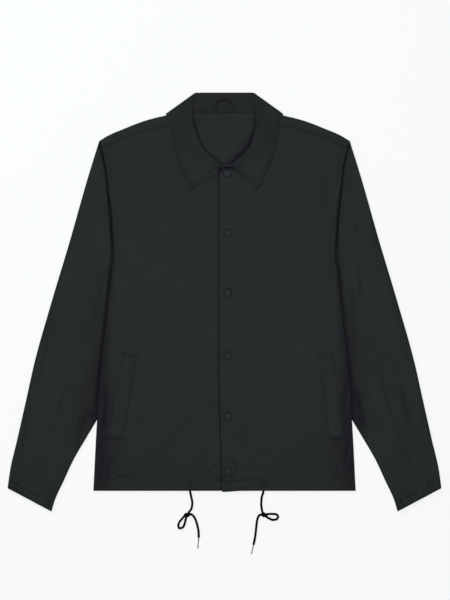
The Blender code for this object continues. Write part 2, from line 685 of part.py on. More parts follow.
def collar_lines(piece):
    """Lines across the "fall" or the "stand", from the roll to its other edge.

    They run from one front end round the neck to the other: over the front, round the fold at the
    side of the neck by a turn from 0 to pi, and behind the neck.
    """
    fold_start, fold_end = np.array(FOLD_START), np.array(FOLD_END)
    direction = (fold_end - fold_start) / np.linalg.norm(fold_end - fold_start)
    top = COLLAR_TOP
    if piece == "stand":
        fold_end = fold_start + direction * STAND_FOLD
        fold_start = fold_start + direction * STAND_GAP
        top = COLLAR_TOP - STAND_GAP
    behind = np.array([(x, back_neck(x) + SEAM_GAP) for x in BACK_NECK_X[::-1]])
    behind[0, 0] = FOLD_FOOT[0]
    halves = []
    for side in (-1, 1):
        flip = np.array([side, 1.0])
        lines = []
        for share in COLLAR_SHARES:
            start = roll_line(share) * flip
            start[0] += neck_shift(start[1])
            end = fall_edge(share) * flip
            if piece == "stand":
                start = start + (end - start) / np.linalg.norm(end - start) * STAND_GAP
                end = along(neck_run(side), share)
            lines.append(Line("front", 0.0, side, start, end))
        for turn in np.radians(COLLAR_TURNS):
            trim = CORNER_TRIM * max(0.0, -math.cos(turn)) ** 2
            lines.append(Line("fold", turn, side, (fold_start - direction * trim) * flip, fold_end * flip))
        for share in COLLAR_BACK_SHARES:
            start = np.array([(FOLD_START[0] - BACK_ROLL_INSET) * (1.0 - share), top])
            x = (FOLD_END[0] - BACK_FALL_INSET) * (1.0 - share)
            end = np.array([x, fall_back_edge(x)]) if piece == "fall" else along(behind, share)
            lines.append(Line("back", math.pi, side, start * flip, end * flip))
        halves.append(lines)
    return halves[0] + halves[1][-2::-1]


def collar_point(line, distance, offset):
    """The point at a distance along a line, at an offset outward from the face between the two pieces."""
    direction = (line.end - line.start) / np.linalg.norm(line.end - line.start)
    x, y = line.start + direction * distance
    if line.layer == "front":
        return x, y, float(front_top(x, y)) + offset
    if line.layer == "back":
        return x, y, COLLAR_LIFT - offset
    outward = np.array([-direction[1] * line.side, direction[0] * line.side])
    top = float(front_top(x - 2.0 * outward[0], y - 2.0 * outward[1]))
    radius, middle = (top - COLLAR_LIFT) / 2.0, (top + COLLAR_LIFT) / 2.0
    reach = (radius + offset) * math.sin(line.turn) - radius
    return x + outward[0] * reach, y + outward[1] * reach, middle + (radius + offset) * math.cos(line.turn)


def add_fall(finish):
    """The turned-down collar. Its roll is a rounded lip that hooks over the stand's upper edge."""
    outside, inside = COLLAR_GAP + FALL_WALL, -STAND_WALL
    middle, radius = (outside + inside) / 2.0, (outside + inside) / 2.0 - inside
    lip = radius * float(arc(LIP_SHARE))
    hook = 2.0 * radius
    columns = (  # distance from the roll, outer offset, inner offset
        (0.0, middle + LIP_TIP, middle - LIP_TIP),
        (LIP_SHARE * radius, middle + lip, middle - lip),
        (radius, outside, inside),
        (hook, outside, inside),
        (hook + 0.1, outside, COLLAR_GAP),
    )
    outer, inner = [], []
    for line in collar_lines("fall"):
        length = np.linalg.norm(line.end - line.start)
        spread = []
        for share in FALL_SHARES:
            clear = FALL_CLEARANCE * share * (1.0 + math.cos(line.turn)) / 2.0
            spread.append((hook + 0.1 + (length - hook - 0.1) * share, outside + clear, COLLAR_GAP + clear))
        outer.append([collar_point(line, distance, out) for distance, out, _ in (*columns, *spread)])
        inner.append([collar_point(line, distance, under) for distance, _, under in (*columns, *spread)])
    return add_wall("collar_fall", np.array(outer), np.array(inner), finish)


def add_stand(finish):
    """The collar's upright band, pressed flat inside the fall. Its upper front end laps the other."""
    lines = collar_lines("stand")
    for place in STAND_LAP:
        end = neck_edge(1, math.asin(place / NECK_HALF), SEAM_GAP)
        lines.append(Line("front", 0.0, 1, np.array([end[0], ROLL[-1][1]]), end))
    outer, inner = [], []
    for line in lines:
        length = np.linalg.norm(line.end - line.start)
        places = length * np.array(STAND_SHARES)
        outer.append([collar_point(line, place, 0.0) for place in places])
        inner.append([collar_point(line, place, -STAND_WALL) for place in places])
    return add_wall("collar_stand", np.array(outer), np.array(inner), finish)


def add_welt(name, side, finish):
    """A slanted pocket welt, laid on its front from the front's own points."""
    (_, *top), (_, *bottom) = WELT_CORNERS
    down = np.linspace(0.0, 1.0, WELT_ROWS)[:, None, None]
    across = np.array(WELT_COLUMNS)[None, :, None]
    top, bottom = np.array(top).reshape(2, 2), np.array(bottom).reshape(2, 2)
    upper = top[0] + (top[1] - top[0]) * across
    lower = bottom[0] + (bottom[1] - bottom[0]) * across
    plan = upper + (lower - upper) * down
    x, y = plan[..., 0] * side, plan[..., 1]
    base = single_front(x, y) + LAYER_GAP
    edge = np.array([WELT_EDGE, 0.0, 0.0, WELT_EDGE])
    outer = np.stack([x, y, base + WELT_WALL - edge], -1)
    return add_wall(name, outer, np.stack([x, y, base], -1), finish)


def add_turned(name, profile, place, stretch, finish, sides=12):
    """A solid turned about Z from a profile of radius and height, stretched along X and Y."""
    points, faces = [], []
    for radius, height in profile:
        for step in range(sides):
            angle = 2.0 * math.pi * step / sides
            points.append((
                place[0] + radius * stretch[0] * math.cos(angle),
                place[1] + radius * stretch[1] * math.sin(angle),
                place[2] + height,
            ))
    for ring in range(len(profile) - 1):
        for step in range(sides):
            after = (step + 1) % sides
            low, high = ring * sides, (ring + 1) * sides
            faces.append((low + step, low + after, high + after, high + step))
    faces.append(tuple(reversed(range(sides))))
    faces.append(tuple(range((len(profile) - 1) * sides, len(profile) * sides)))
    return add_object(name, points, faces, finish)


def add_snap(number, x, y, finish):
    """A snap's cap on the upper front: a low dome with a rolled rim."""
    profile = (  # radius, height
        (SNAP_RADIUS - 0.5, 0.0),
        (SNAP_RADIUS, 0.5),
        (SNAP_RADIUS - 0.2, 1.2),
        (SNAP_RADIUS - 1.4, 1.7),
        (SNAP_RADIUS - 3.6, 2.0),
    )
    base = float(over_front(x, y)) + LAYER_GAP
    return add_turned(f"snap_{number}", profile, (x, y, base), (1.0, 1.0), finish)


def add_loop(finish):
    """The hanger tape, lying on the stand inside the back of the neck."""
    share = np.linspace(0.0, 1.0, 13)
    centre = loop_path(share)
    step = np.gradient(centre, axis=0)
    normal = np.stack([-step[:, 1], step[:, 0]], -1) / np.linalg.norm(step, axis=1)[:, None]
    base = COLLAR_LIFT + STAND_WALL + LAYER_GAP
    grids = []
    for height in (base + TAPE_WALL, base):
        sides = [centre + normal * TAPE_WIDTH * half for half in (-0.5, 0.5)]
        grids.append(np.stack([np.column_stack([run, np.full(len(run), height)]) for run in sides], 1))
    return add_wall("hanger_loop", grids[0], grids[1], finish)


def add_cord(name, points, radius, finish):
    """A length of round cord or a metal tip along a smooth curve through its points."""
    follow = route(points)
    length = np.linalg.norm(np.diff(follow(np.linspace(0.0, 1.0, 50)), axis=0), axis=1).sum()
    count = max(2, round(length / (CORD_PITCH * CORD)))
    curve = bpy.data.curves.new(name, "CURVE")
    curve.dimensions = "3D"
    curve.bevel_depth = radius * MM
    curve.bevel_resolution = 2
    curve.use_fill_caps = True
    spline = curve.splines.new("POLY")
    spline.points.add(count - 1)
    for point, place in zip(spline.points, follow(np.linspace(0.0, 1.0, count))):
        point.co = (*(place * MM), 1.0)
    curve.materials.append(finish)
    made = bpy.data.objects.new(name, curve)
    bpy.context.collection.objects.link(made)
    return made


def add_drawcord(side, cord, metal):
    """One free end of the drawcord: its lead, slip loop and tail, with the knot and the tip on them."""
    stretches = CORDS[side]
    for stretch in ("lead", "loop", "tail"):
        add_cord(f"cord_{side}_{stretch}", stretches[stretch], CORD / 2.0, cord)
    add_cord(f"cord_{side}_tip", stretches["tip"], TIP_RADIUS, metal)
    width, depth, height = KNOT
    turns = np.radians(np.linspace(-78.0, 78.0, 6))
    profile = [(math.cos(turn), height / 2.0 * math.sin(turn)) for turn in turns]
    stretch = (width / 2.0, depth / 2.0)
    add_turned(f"cord_{side}_knot", profile, KNOT_PLACES[side], stretch, cord, sides=10)


def main():
    for old in list(bpy.data.objects):
        bpy.data.objects.remove(old, do_unlink=True)
    cloth = material("nylon", CLOTH_COLOUR, 0.6)
    collar_cloth = material("collar_nylon", COLLAR_COLOUR, 0.6)
    tape = material("tape", CLOTH_COLOUR, 0.8)
    cord = material("cord", CORD_COLOUR, 0.85)
    snap = material("snap_lacquer", SNAP_COLOUR, 0.35)
    metal = material("tip_metal", TIP_COLOUR, 0.3, metallic=1.0)
    add_front("front_left", 1, OVER_EDGE, cloth)
    add_front("front_right", -1, -UNDER_EDGE, cloth)
    add_back(cloth)
    sleeve_end = 1.0 - (CUFF + SEAM_GAP) / SLEEVE_LENGTH
    cuff_start = 1.0 - CUFF / SLEEVE_LENGTH
    cuff_shares = np.linspace(cuff_start, 1.0, 4)
    cuff_swells = CUFF_SWELL * np.array([0.0, 1.0, 1.0, 0.0])
    for name, side in (("left", 1), ("right", -1)):
        shares = (*SLEEVE_SHARES, sleeve_end)
        add_tube(f"sleeve_{name}", side, shares, SLEEVE_POINTS, np.zeros(len(shares)), cloth)
        add_tube(f"cuff_{name}", side, cuff_shares, SLEEVE_POINTS, cuff_swells, cloth)
        add_welt(f"pocket_welt_{name}", side, cloth)
        add_drawcord(name, cord, metal)
    add_stand(collar_cloth)
    add_fall(collar_cloth)
    add_loop(tape)
    for number, (x, y) in enumerate(SNAPS, start=1):
        add_snap(number, x, y, snap)


main()
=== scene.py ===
"""Looks of the coach jacket that lies flat: cloth with its seams, gathers and creases, and its trim.

Lengths are in millimetres in the model's frame and become metres as each mesh is made. X runs across
the jacket, Y from hem to collar, and Z up from the surface that it lies on.
"""

import collections
import math

import bmesh
import bpy
import numpy as np
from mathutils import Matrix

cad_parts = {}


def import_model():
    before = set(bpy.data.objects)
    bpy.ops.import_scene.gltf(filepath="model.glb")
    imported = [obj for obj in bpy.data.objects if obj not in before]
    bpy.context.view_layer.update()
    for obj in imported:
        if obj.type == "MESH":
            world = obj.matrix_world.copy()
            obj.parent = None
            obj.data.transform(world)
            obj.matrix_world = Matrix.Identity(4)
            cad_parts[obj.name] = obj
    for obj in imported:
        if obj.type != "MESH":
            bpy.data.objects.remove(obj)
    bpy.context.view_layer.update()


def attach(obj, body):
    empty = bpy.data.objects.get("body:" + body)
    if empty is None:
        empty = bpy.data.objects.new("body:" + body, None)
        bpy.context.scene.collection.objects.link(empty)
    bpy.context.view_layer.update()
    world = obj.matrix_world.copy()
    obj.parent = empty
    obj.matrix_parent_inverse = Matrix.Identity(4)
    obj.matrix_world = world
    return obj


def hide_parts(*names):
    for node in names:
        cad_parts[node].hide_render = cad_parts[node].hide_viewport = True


MM = 0.001

# View: straight down on the jacket
FRAME_HEIGHT = 1128.0  # what the view takes in at the height of the cloth
FRAME_CENTRE = (0.9, 3.8)
CAMERA_HEIGHT = 6000.0
SENSOR = 36.0  # width of the camera's sensor

# Cloth and seams: thicknesses, and gaps between pieces
WALL = 0.6  # body, sleeves and cuffs
FALL_WALL = 1.4
STAND_WALL = 1.2
WELT_WALL = 1.2
SEAM_GAP = 0.1  # between the edges of two pieces that are sewn together
ARMHOLE_GAP = 0.3
TUCK = 3.0  # the sleeve's seam allowance runs this far in under the front
TUCK_HEIGHT = 1.3  # its height there, and the share of its thickness that is left
TUCK_PRESS = 0.4
UNDERARM_TUCK = 3.0  # and this much farther at the underarm
LAYER_GAP = 0.35  # between two layers that lie on each other
COLLAR_GAP = 0.6  # under the fall at its roll
FALL_CLEARANCE = 0.5  # how much farther the fall's free edge stands up

# Heights above the surface
LOFT = 5.3  # outer face of the front over a back panel that lies on the surface
HEM_DROP = 1.1  # the front sinks this far towards the hem
HEM_DROP_REACH = (10.0, 60.0)  # whole up to the first height above the hem, gone over the second
FRONT_SHARE = 0.28  # share of the back panel's lift that shows on the front
COLLAR_LIFT = 2.0  # back panel over the part of the collar folded behind it
SLEEVE_LIFT = 3.2  # back panel over the hidden part of a sleeve
VALLEY = 1.5  # sleeve where it goes under the body
BROW = 4.5  # sleeve at the top of the steep side of that crevice
CROWN = 5.8  # sleeve along its middle
ARMHOLE_REACH = 50.0  # from the armhole out to where the sleeve is at its crown
SIDE_ROUND = 0.65  # radius of the turned side edge, as a share of the body's thickness
SIDE_INSET_REACH = 14.0  # its inner face draws in over this width
GROOVE_START_Y = 60.0  # the armhole's groove begins here and is whole after the fade
GROOVE_FADE = 25.0
GROOVE_SHARE = 0.4  # share of the armhole's groove that shows on the front
GROOVE_WIDTH = 3.0
SLEEVE_ROUND = 1.3  # radius of a sleeve's turned edges, as a share of half its thickness
LIFT_RAMP = 30.0  # width over which the back panel climbs, which ends the margin before the edge below
LIFT_MARGIN = 12.0
UNDERARM_FADE = 37.0  # the lift over a sleeve begins over this height below the underarm
ROLL_RISE = 5.0  # the collar's roll lifts the fronts and itself
ROLL_REACH = 32.0
ROLL_START_Y = 242.0
ROLL_START_FADE = 60.0
ROLL_END_Y = 390.0
ROLL_END_FADE = 70.0
SNAP_DENT = 0.5  # a snap presses the cloth in round it
SNAP_DENT_REACH = 11.0

# Body
HEM_Y = -355.2
UNDERARM_Y = 92.0
HEM_CASING = 20.2  # height of the drawcord's channel
CASING_SWELL = 0.7
OVER_EDGE = -9.8  # free edge of the upper front
UNDER_EDGE = 20.0  # free edge of the lower front, under the upper one
OVERLAP_MARGIN = 2.0
OVERLAP_FADE = 28.0  # the upper front sinks over this width beyond the lower one's edge
BRIDGE_START = 14.0  # the collar starts to rise this far before the upper front's edge
BRIDGE_REACH = 12.0
PRESS_DEPTH = 0.7  # the lower front is pressed down beside the upper one's edge
PRESS_OFFSET = 1.0
PRESS_REACH = 1.5
PRESS_FADE = 20.0
SLOW_UNDULATION = 0.28
QUICK_UNDULATION = 0.09
FOLD_FADE = 30.0  # folds, creases and puckers fade out over these heights towards the hem
CREASE_FADE = 12.0
PUCKER_FADE = 3.0
EDGE_DRIFT = 5.5  # how far the upper front's edge leans to the left, over this height from the hem
DRIFT_HEIGHT = 240.0
LAP_DROP = 2.0  # how far its corner hangs below the hem
LAP_DROP_REACH = (45.0, 60.0)  # across and up

# Neck and collar
NECK_HALF = 84.6  # the front neck seam is half an ellipse: half width, centre and depth
NECK_TOP = 345.0
NECK_DROP = 94.0
NECK_SHIFT = 4.2  # at the front end of the neck seam
SEAM_NECK_Y = 338.6  # the shoulder seam's end at the neck, and at the shoulder's tip
SEAM_TIP_Y = 290.4
BACK_NECK_Y = 357.0
NECK_FLAT = 58.0  # the seam behind the neck is level this far out
NECK_END_DROP = 2.0
BACK_LENGTH = 706.0  # from the hem to the seam behind the neck, as the back's rows are spaced
BACK_FINE_LENGTH = 100.0  # the part of it with close rows
BACK_UNEVENNESS = 0.5  # the undulation in scale to the front's
BACK_LIFT = (0.2, 0.6)  # how far its inner face stands up from its outer one, on average and at most
COLLAR_TOP = 394.0
FALL_BACK_Y = 327.0  # the fall's edge behind the back panel, and its slope beyond the shoulder
FALL_BACK_SLOPE = 1.5
COLLAR_FRONT = 155.0  # length of the collar's free edge on each front
FOLD_START = (53.5, 392.6)  # the collar folds round the side of the neck on this line
FOLD_END = (109.5, 352.0)
STAND_FOLD = 36.5  # how far along this line the stand reaches
FOLD_FOOT = (81.8, 369.3)
STAND_GAP = 3.7  # from the fall's roll to the stand's upper edge
STAND_LAP = (-4.0, 8.6)  # how far its upper front end laps past the centre, from and to
STAND_LAP_STEP = 1.4
COLLAR_END = 10.4  # from the centre to the collar's front ends
FALL_WAVE = 0.22  # unevenness of the two bands
STAND_SAG = 0.12
CORNER_TRIM = 4.4  # the fold draws in this far behind the neck

# Sleeves
ARM_TOP_Y = 302.7  # outer edge of a sleeve, from the shoulder's tip down to the wrist
WRIST_OUTER_Y = -350.0
WRIST_SLANT = 44.0  # the wrist's inner end lies this much lower
SLEEVE_LENGTH = 674.0
CUFF = 15.0  # height of the elastic casing
CUFF_SWELL = 0.7
SLEEVE_UNEVENNESS = 0.6  # the undulation in scale to the body's
SLEEVE_FOLD_FADE = 12.0  # folds fade out over this width towards the body
SECTION_TURN = 0.45  # share of a sleeve over which its sections turn square to the wrist
BOW_REACH = 0.3  # share of a sleeve over which the armhole's bow fades out

# Trim
SNAP_RADIUS = 6.4
SNAP_RIM = 0.75  # radius of the rolled rim
SNAP_DOME = 0.16
TAPE_WIDTH = 4.5
TAPE_WALL = 1.0
TAPE_LIFT = 0.9
TAPE_ROUND = 0.3  # its edges are rounded over twice this width
CORD = 3.8
CORD_START = 3.0  # the cord comes out of the hem from this far inside it
BRAID_RADIUS = CORD * 0.6  # with its strands standing out
BRAID_SWELL = 1.15  # the braid in scale to the cord, and how far its strands stand out
BRAID_RELIEF = 0.05
BRAID_LAY = 2.4 * CORD  # the length over which a strand goes once round
KNOT = (13.0, 10.0, 7.0)
KNOT_CORD_RADIUS = CORD * 0.55
KNOT_LEAN = {"right": 0.35, "left": -0.6}
TIP_RADIUS = 1.5

# Sewing
STITCH = 2.5  # length of one stitch
STITCH_PITCH = 3.3  # from one stitch to the next
THREAD = 0.2  # radius
THREAD_CLEAR = 0.1  # from a welt's face to the middle of its thread
STITCH_SINK = 0.08  # the collar's thread lies this far down in its cloth
STITCH_DIP = 0.28  # the thread pulls the cloth down this far
HEM_STITCH_DIP = 0.1
DIP_REACH = 1.3  # half width of such a dip
EDGE_STITCH = 5.0  # from the collar's free edge to its topstitch
ARMHOLE_STITCH = 9.4  # the same from the armhole
ARMHOLE_STITCH_START_Y = 88.0
SHOULDER_STITCH = 4.5  # the same from the shoulder seam
WELT_BARS = (2.4, 7.0, -3.0)  # from the welt's top, and from its bottom where negative
BAR_REACH = 0.9
BAR_DIP = STITCH_DIP * 1.2
WELT_PILLOW = 0.35  # how far a welt is raised along its middle
RIM = 0.5  # a folded edge is rounded over this width
RIM_PINCH = 0.35

# Grain of the grids, and the sides of what is round
ROW_STEP = 3.2
COLUMN_STEP = 3.2
FINE_STEP = 1.1  # within this reach of a snap or the shoulder seam
FINE_REACH = 11.0
CURVE_SAMPLES = 60
CORD_STEP = 0.45
CORD_SIDES = 24
KNOT_SIDES = 16
TIP_SIDES = 32
SNAP_SIDES = 48

VALLEY_WIDTH = (  # y, how far from the body the sleeve rises to its crown
    (-260.0, 34.0),
    (-190.0, 44.0),
    (-60.0, 46.0),
    (40.0, 28.0),
    (92.0, 20.0),
)
LEFT_BROW_WIDTH = (  # y, how wide the crevice between the left sleeve and the body is
    (-260.0, 9.0),
    (-100.0, 11.0),
    (30.0, 10.0),
    (120.0, 6.0),
    (190.0, 4.5),
    (302.0, 3.5),
)
RIGHT_BROW_WIDTH = (  # y, the same on the right
    (-260.0, 8.0),
    (-190.0, 7.0),
    (0.0, 6.0),
    (92.0, 6.0),
    (160.0, 6.5),
    (220.0, 4.0),
    (302.0, 6.0),
)
SIDES = {"left": 1, "right": -1}
CUFF_SEED = {"left": 1.8, "right": 0.4}  # so that the two wrists gather differently
SIDE_FALL = (  # y, how far the front has sunk at its side
    (-354.0, 1.0),
    (-330.0, 1.7),
    (-240.0, 1.9),
    (-180.0, 1.3),
    (-100.0, 0.7),
    (92.0, 0.5),
    (120.0, 0.0),
)
SIDE_FALL_REACH = 20.0  # width over which it sinks
BODY_SIDE = (  # y, half width
    (-355.0, 246.8),
    (-278.0, 243.0),
    (-221.8, 239.8),
    (-171.0, 237.2),
    (-110.9, 231.5),
    (-50.8, 224.9),
    (0.0, 219.4),
    (60.2, 213.0),
    (99.6, 209.9),
    (139.1, 211.7),
    (178.6, 215.0),
    (214.3, 219.5),
    (255.7, 224.4),
    (302.7, 235.5),
)
SHOULDER_FOLD = (  # x, y
    (84.3, 370.3),
    (96.0, 361.0),
    (109.0, 351.6),
    (126.9, 347.2),
    (145.7, 342.2),
    (162.6, 336.5),
    (190.8, 325.2),
    (217.1, 314.0),
    (235.9, 302.7),
)
SHOULDER_SEAM = (  # x, y
    (84.6, SEAM_NECK_Y),
    (102.3, 333.9),
    (167.3, 316.6),
    (191.8, 306.8),
    (219.6, 295.7),
    (236.0, 289.2),
)
SLEEVE_OUTER = (  # y, x
    (WRIST_OUTER_Y, 408.0),
    (-315.8, 403.3),
    (-259.0, 390.1),
    (-184.0, 373.2),
    (-109.0, 356.3),
    (3.8, 324.3),
    (116.6, 290.5),
    (229.4, 258.5),
    (302.7, 235.9),
)
SLEEVE_INNER = (  # y, x
    (WRIST_OUTER_Y - WRIST_SLANT, 325.3),
    (-372.0, 318.7),
    (-335.0, 301.7),
    (-297.0, 284.0),
    (-259.0, 262.0),
    (-222.0, 240.0),
    (-190.0, 223.0),
    (-150.0, 204.0),
    (-100.0, 182.0),
    (-60.0, 173.0),
    (-20.0, 178.0),
    (10.0, 189.0),
    (35.0, 200.0),
    (55.0, 205.0),
    (72.0, 207.0),
    (92.0, 208.0),
)
ROLL = (  # x, y: where the collar turns over
    (53.0, 391.0),
    (57.0, 385.0),
    (58.7, 368.0),
    (58.9, 350.0),
    (57.0, 332.0),
    (53.6, 316.0),
    (47.6, 298.0),
    (37.2, 283.0),
    (22.0, 270.0),
    (COLLAR_END, 260.5),
)
NECK_LEAN = (  # y, how far the neck opening has moved to the left
    (251.0, NECK_SHIFT),
    (300.0, 2.1),
    (325.0, 0.6),
    (342.0, -0.7),
    (362.0, -1.8),
    (376.0, -1.8),
    (391.0, 0.0),
)
FALL_EDGE = (  # x, y: free edge of the collar, from the shoulder to its point
    (108.3, 350.4),
    (104.3, 342.0),
    (98.5, 318.0),
    (94.0, 289.5),
    (87.0, 267.0),
    (75.8, 242.5),
    (65.8, 220.0),
    (59.0, 213.0),
)
SNAPS = (  # x, y
    (4.8, 241.6),
    (5.8, 129.8),
    (5.8, 17.5),
    (5.8, -101.0),
    (7.0, -215.0),
    (7.2, -318.6),
)
WELTS = {  # side: corners at its top and at its bottom, as inner x, inner y, outer x, outer y
    "left": ((177.2, -99.7, 203.2, -94.0), (197.5, -256.0, 222.0, -252.8)),
    "right": ((164.8, -99.7, 191.0, -94.0), (191.0, -256.0, 217.6, -252.8)),
}
LOOP_PATH = (  # x, y
    (-16.0, 359.5),
    (-17.0, 369.0),
    (-11.0, 377.5),
    (2.0, 380.0),
    (11.0, 377.0),
    (16.5, 368.5),
    (21.0, 359.5),
)
# Depth of the groove where the sleeve is set in, which opens and closes along the armhole
ARMHOLE_GROOVE = (  # y, depth
    (60.0, 0.0),
    (92.0, 2.2),
    (125.0, 3.2),
    (195.0, 3.2),
    (232.0, 1.9),
    (262.0, 3.0),
    (302.0, 1.8),
)
# How creases meander
SWAY_X = (  # sway, length along Y, start
    (1.6, 17.0, 0.6),
    (0.8, 7.3, 0.0),
)
SWAY_Y = (  # sway, length along X, start
    (1.2, 13.0, 0.0),
)
# Ridges, and troughs where the height is negative
BODY_FOLDS = (  # x0, y0, x1, y1, half width, height; the same on both sides
    (206.0, -196.0, 236.0, -120.0, 9.0, 0.7),
    (226.0, -330.0, 240.0, -255.0, 8.0, 0.8),
    (150.0, -300.0, 60.0, -210.0, 26.0, 0.5),
    (196.0, 60.0, 120.0, 160.0, 22.0, 0.5),
)
FRONT_CREASES = (  # x0, y0, x1, y1, half width, height
    (-231.0, -254.0, -222.0, -255.0, 2.2, -0.9),
    (-219.0, -257.0, -186.0, -261.5, 2.2, -0.8),
    (-228.0, -262.0, -192.0, -266.0, 3.6, 0.4),
    (-187.0, -262.0, -186.0, -276.0, 2.2, -0.7),
    (-192.0, -262.0, -191.0, -278.0, 2.4, 0.35),
    (186.0, -259.0, 219.0, -256.5, 2.2, -0.8),
    (222.0, -254.0, 234.0, -252.0, 2.4, -0.7),
    (190.0, -265.0, 224.0, -262.0, 3.6, 0.4),
    (189.0, -246.0, 187.0, -262.0, 2.2, -0.5),
    (-236.0, -262.0, -228.0, -322.0, 4.2, -0.6),
    (-226.0, -275.0, -214.0, -338.0, 4.6, 0.5),
    (-214.0, -280.0, -200.0, -330.0, 5.0, -0.4),
    (-240.0, -300.0, -226.0, -345.0, 3.6, 0.5),
    (-214.0, -20.0, -208.0, -70.0, 5.0, -0.3),
    (-224.0, -170.0, -230.0, -236.0, 3.4, -0.7),
    (-217.0, -172.0, -222.0, -240.0, 4.0, 0.5),
    (236.0, -262.0, 226.0, -318.0, 4.4, -0.55),
    (228.0, -270.0, 214.0, -336.0, 5.0, 0.5),
    (216.0, -288.0, 196.0, -334.0, 5.5, -0.35),
    (226.0, -60.0, 212.0, -140.0, 6.5, -0.4),
    (236.0, -150.0, 224.0, -220.0, 4.6, -0.5),
    (203.0, 84.0, 176.0, 40.0, 8.0, 0.45),
    (206.0, 66.0, 186.0, 6.0, 7.0, -0.4),
    (-203.0, 84.0, -172.0, 46.0, 8.0, 0.4),
    (-206.0, 62.0, -184.0, -4.0, 7.5, -0.4),
    (-196.0, 150.0, -150.0, 190.0, 12.0, 0.35),
    (190.0, 170.0, 150.0, 228.0, 14.0, 0.3),
    (-120.0, -120.0, -60.0, 20.0, 34.0, 0.4),
    (130.0, -60.0, 70.0, 110.0, 38.0, -0.35),
    (-150.0, 40.0, -90.0, 230.0, 36.0, -0.3),
    (90.0, -250.0, 160.0, -150.0, 30.0, 0.4),
    (14.0, -296.0, 26.0, -326.0, 4.0, -0.55),
    (20.0, -290.0, 36.0, -330.0, 4.6, 0.5),
    (-14.0, -306.0, -24.0, -332.0, 4.0, -0.45),
    (-22.0, -300.0, -34.0, -330.0, 4.6, 0.35),
)
SLEEVE_FOLDS = (  # x0, y0, x1, y1, half width, height
    (262.0, 210.0, 286.0, 40.0, 9.0, 0.9),
    (250.0, 150.0, 264.0, 0.0, 8.0, -0.8),
    (300.0, 60.0, 346.0, -150.0, 9.0, 0.9),
    (268.0, -20.0, 318.0, -210.0, 9.0, -0.8),
    (290.0, -150.0, 342.0, -330.0, 9.0, 0.8),
    (356.0, -170.0, 384.0, -300.0, 8.0, 0.7),
)
RIGHT_SLEEVE_CREASES = (  # x0, y0, x1, y1, half width, height
    (265.0, -206.0, 284.0, -284.0, 6.0, -1.2),
    (250.0, -206.0, 253.0, -226.0, 5.0, -0.9),
    (244.0, -224.0, 264.0, -214.0, 4.5, 0.8),
    (274.0, -200.0, 292.0, -268.0, 5.0, 0.6),
    (242.0, -150.0, 256.0, -186.0, 4.5, 0.5),
    (226.0, 40.0, 244.0, -60.0, 5.5, -0.5),
    (236.0, 60.0, 262.0, -70.0, 6.0, 0.5),
    (300.0, -90.0, 322.0, -176.0, 7.0, 0.5),
    (338.0, -60.0, 352.0, -150.0, 6.0, -0.45),
    (232.0, 232.0, 246.0, 130.0, 5.0, 0.45),
    (258.0, 200.0, 270.0, 120.0, 5.5, -0.4),
    (372.0, -230.0, 392.0, -310.0, 5.0, -0.5),
)
LEFT_SLEEVE_CREASES = (  # x0, y0, x1, y1, half width, height
    (241.0, -160.0, 262.0, -245.0, 6.0, -1.6),
    (254.0, -150.0, 280.0, -240.0, 6.0, 0.7),
    (268.0, -92.0, 277.0, -168.0, 7.0, -0.6),
    (327.0, -160.0, 358.0, -270.0, 6.0, 0.8),
    (341.0, -250.0, 354.0, -300.0, 5.0, -0.7),
    (228.0, 30.0, 250.0, -84.0, 5.5, -0.5),
    (240.0, 70.0, 270.0, -50.0, 6.5, 0.5),
    (284.0, -40.0, 306.0, -140.0, 6.0, -0.45),
    (312.0, -110.0, 334.0, -206.0, 7.0, 0.5),
    (234.0, 226.0, 250.0, 110.0, 5.5, 0.4),
    (264.0, 168.0, 278.0, 80.0, 5.5, -0.4),
    (352.0, -120.0, 368.0, -190.0, 5.0, 0.4),
    (366.0, -226.0, 388.0, -318.0, 5.0, -0.5),
)
# Where the hem's channel gathers, stronger near the cord's ends and the last snap
HEM_GATHERS = (  # x, reach, strength
    (-170.0, 34.0, 1.0),
    (-86.0, 16.0, 0.6),
    (-66.0, 9.0, 1.0),
    (-8.0, 18.0, 0.55),
    (18.0, 15.0, 0.6),
    (60.0, 30.0, 0.9),
    (74.0, 9.0, 1.0),
    (190.0, 30.0, 0.6),
)
GATHER_PITCH = 9.5
GATHER_LEAN = 0.45
GATHER_HEIGHT = 0.42
GATHER_REACH = 13.0  # above and below the stitch line
GATHER_BASE = 0.22  # strength all along the hem
CUFF_GATHER_PITCH = 15.0
CUFF_GATHER_LEAN = 0.12
CUFF_GATHER_HEIGHT = 0.95
CUFF_GATHER_REACH = (14.0, 62.0)  # the shortest and the longest run up the sleeve
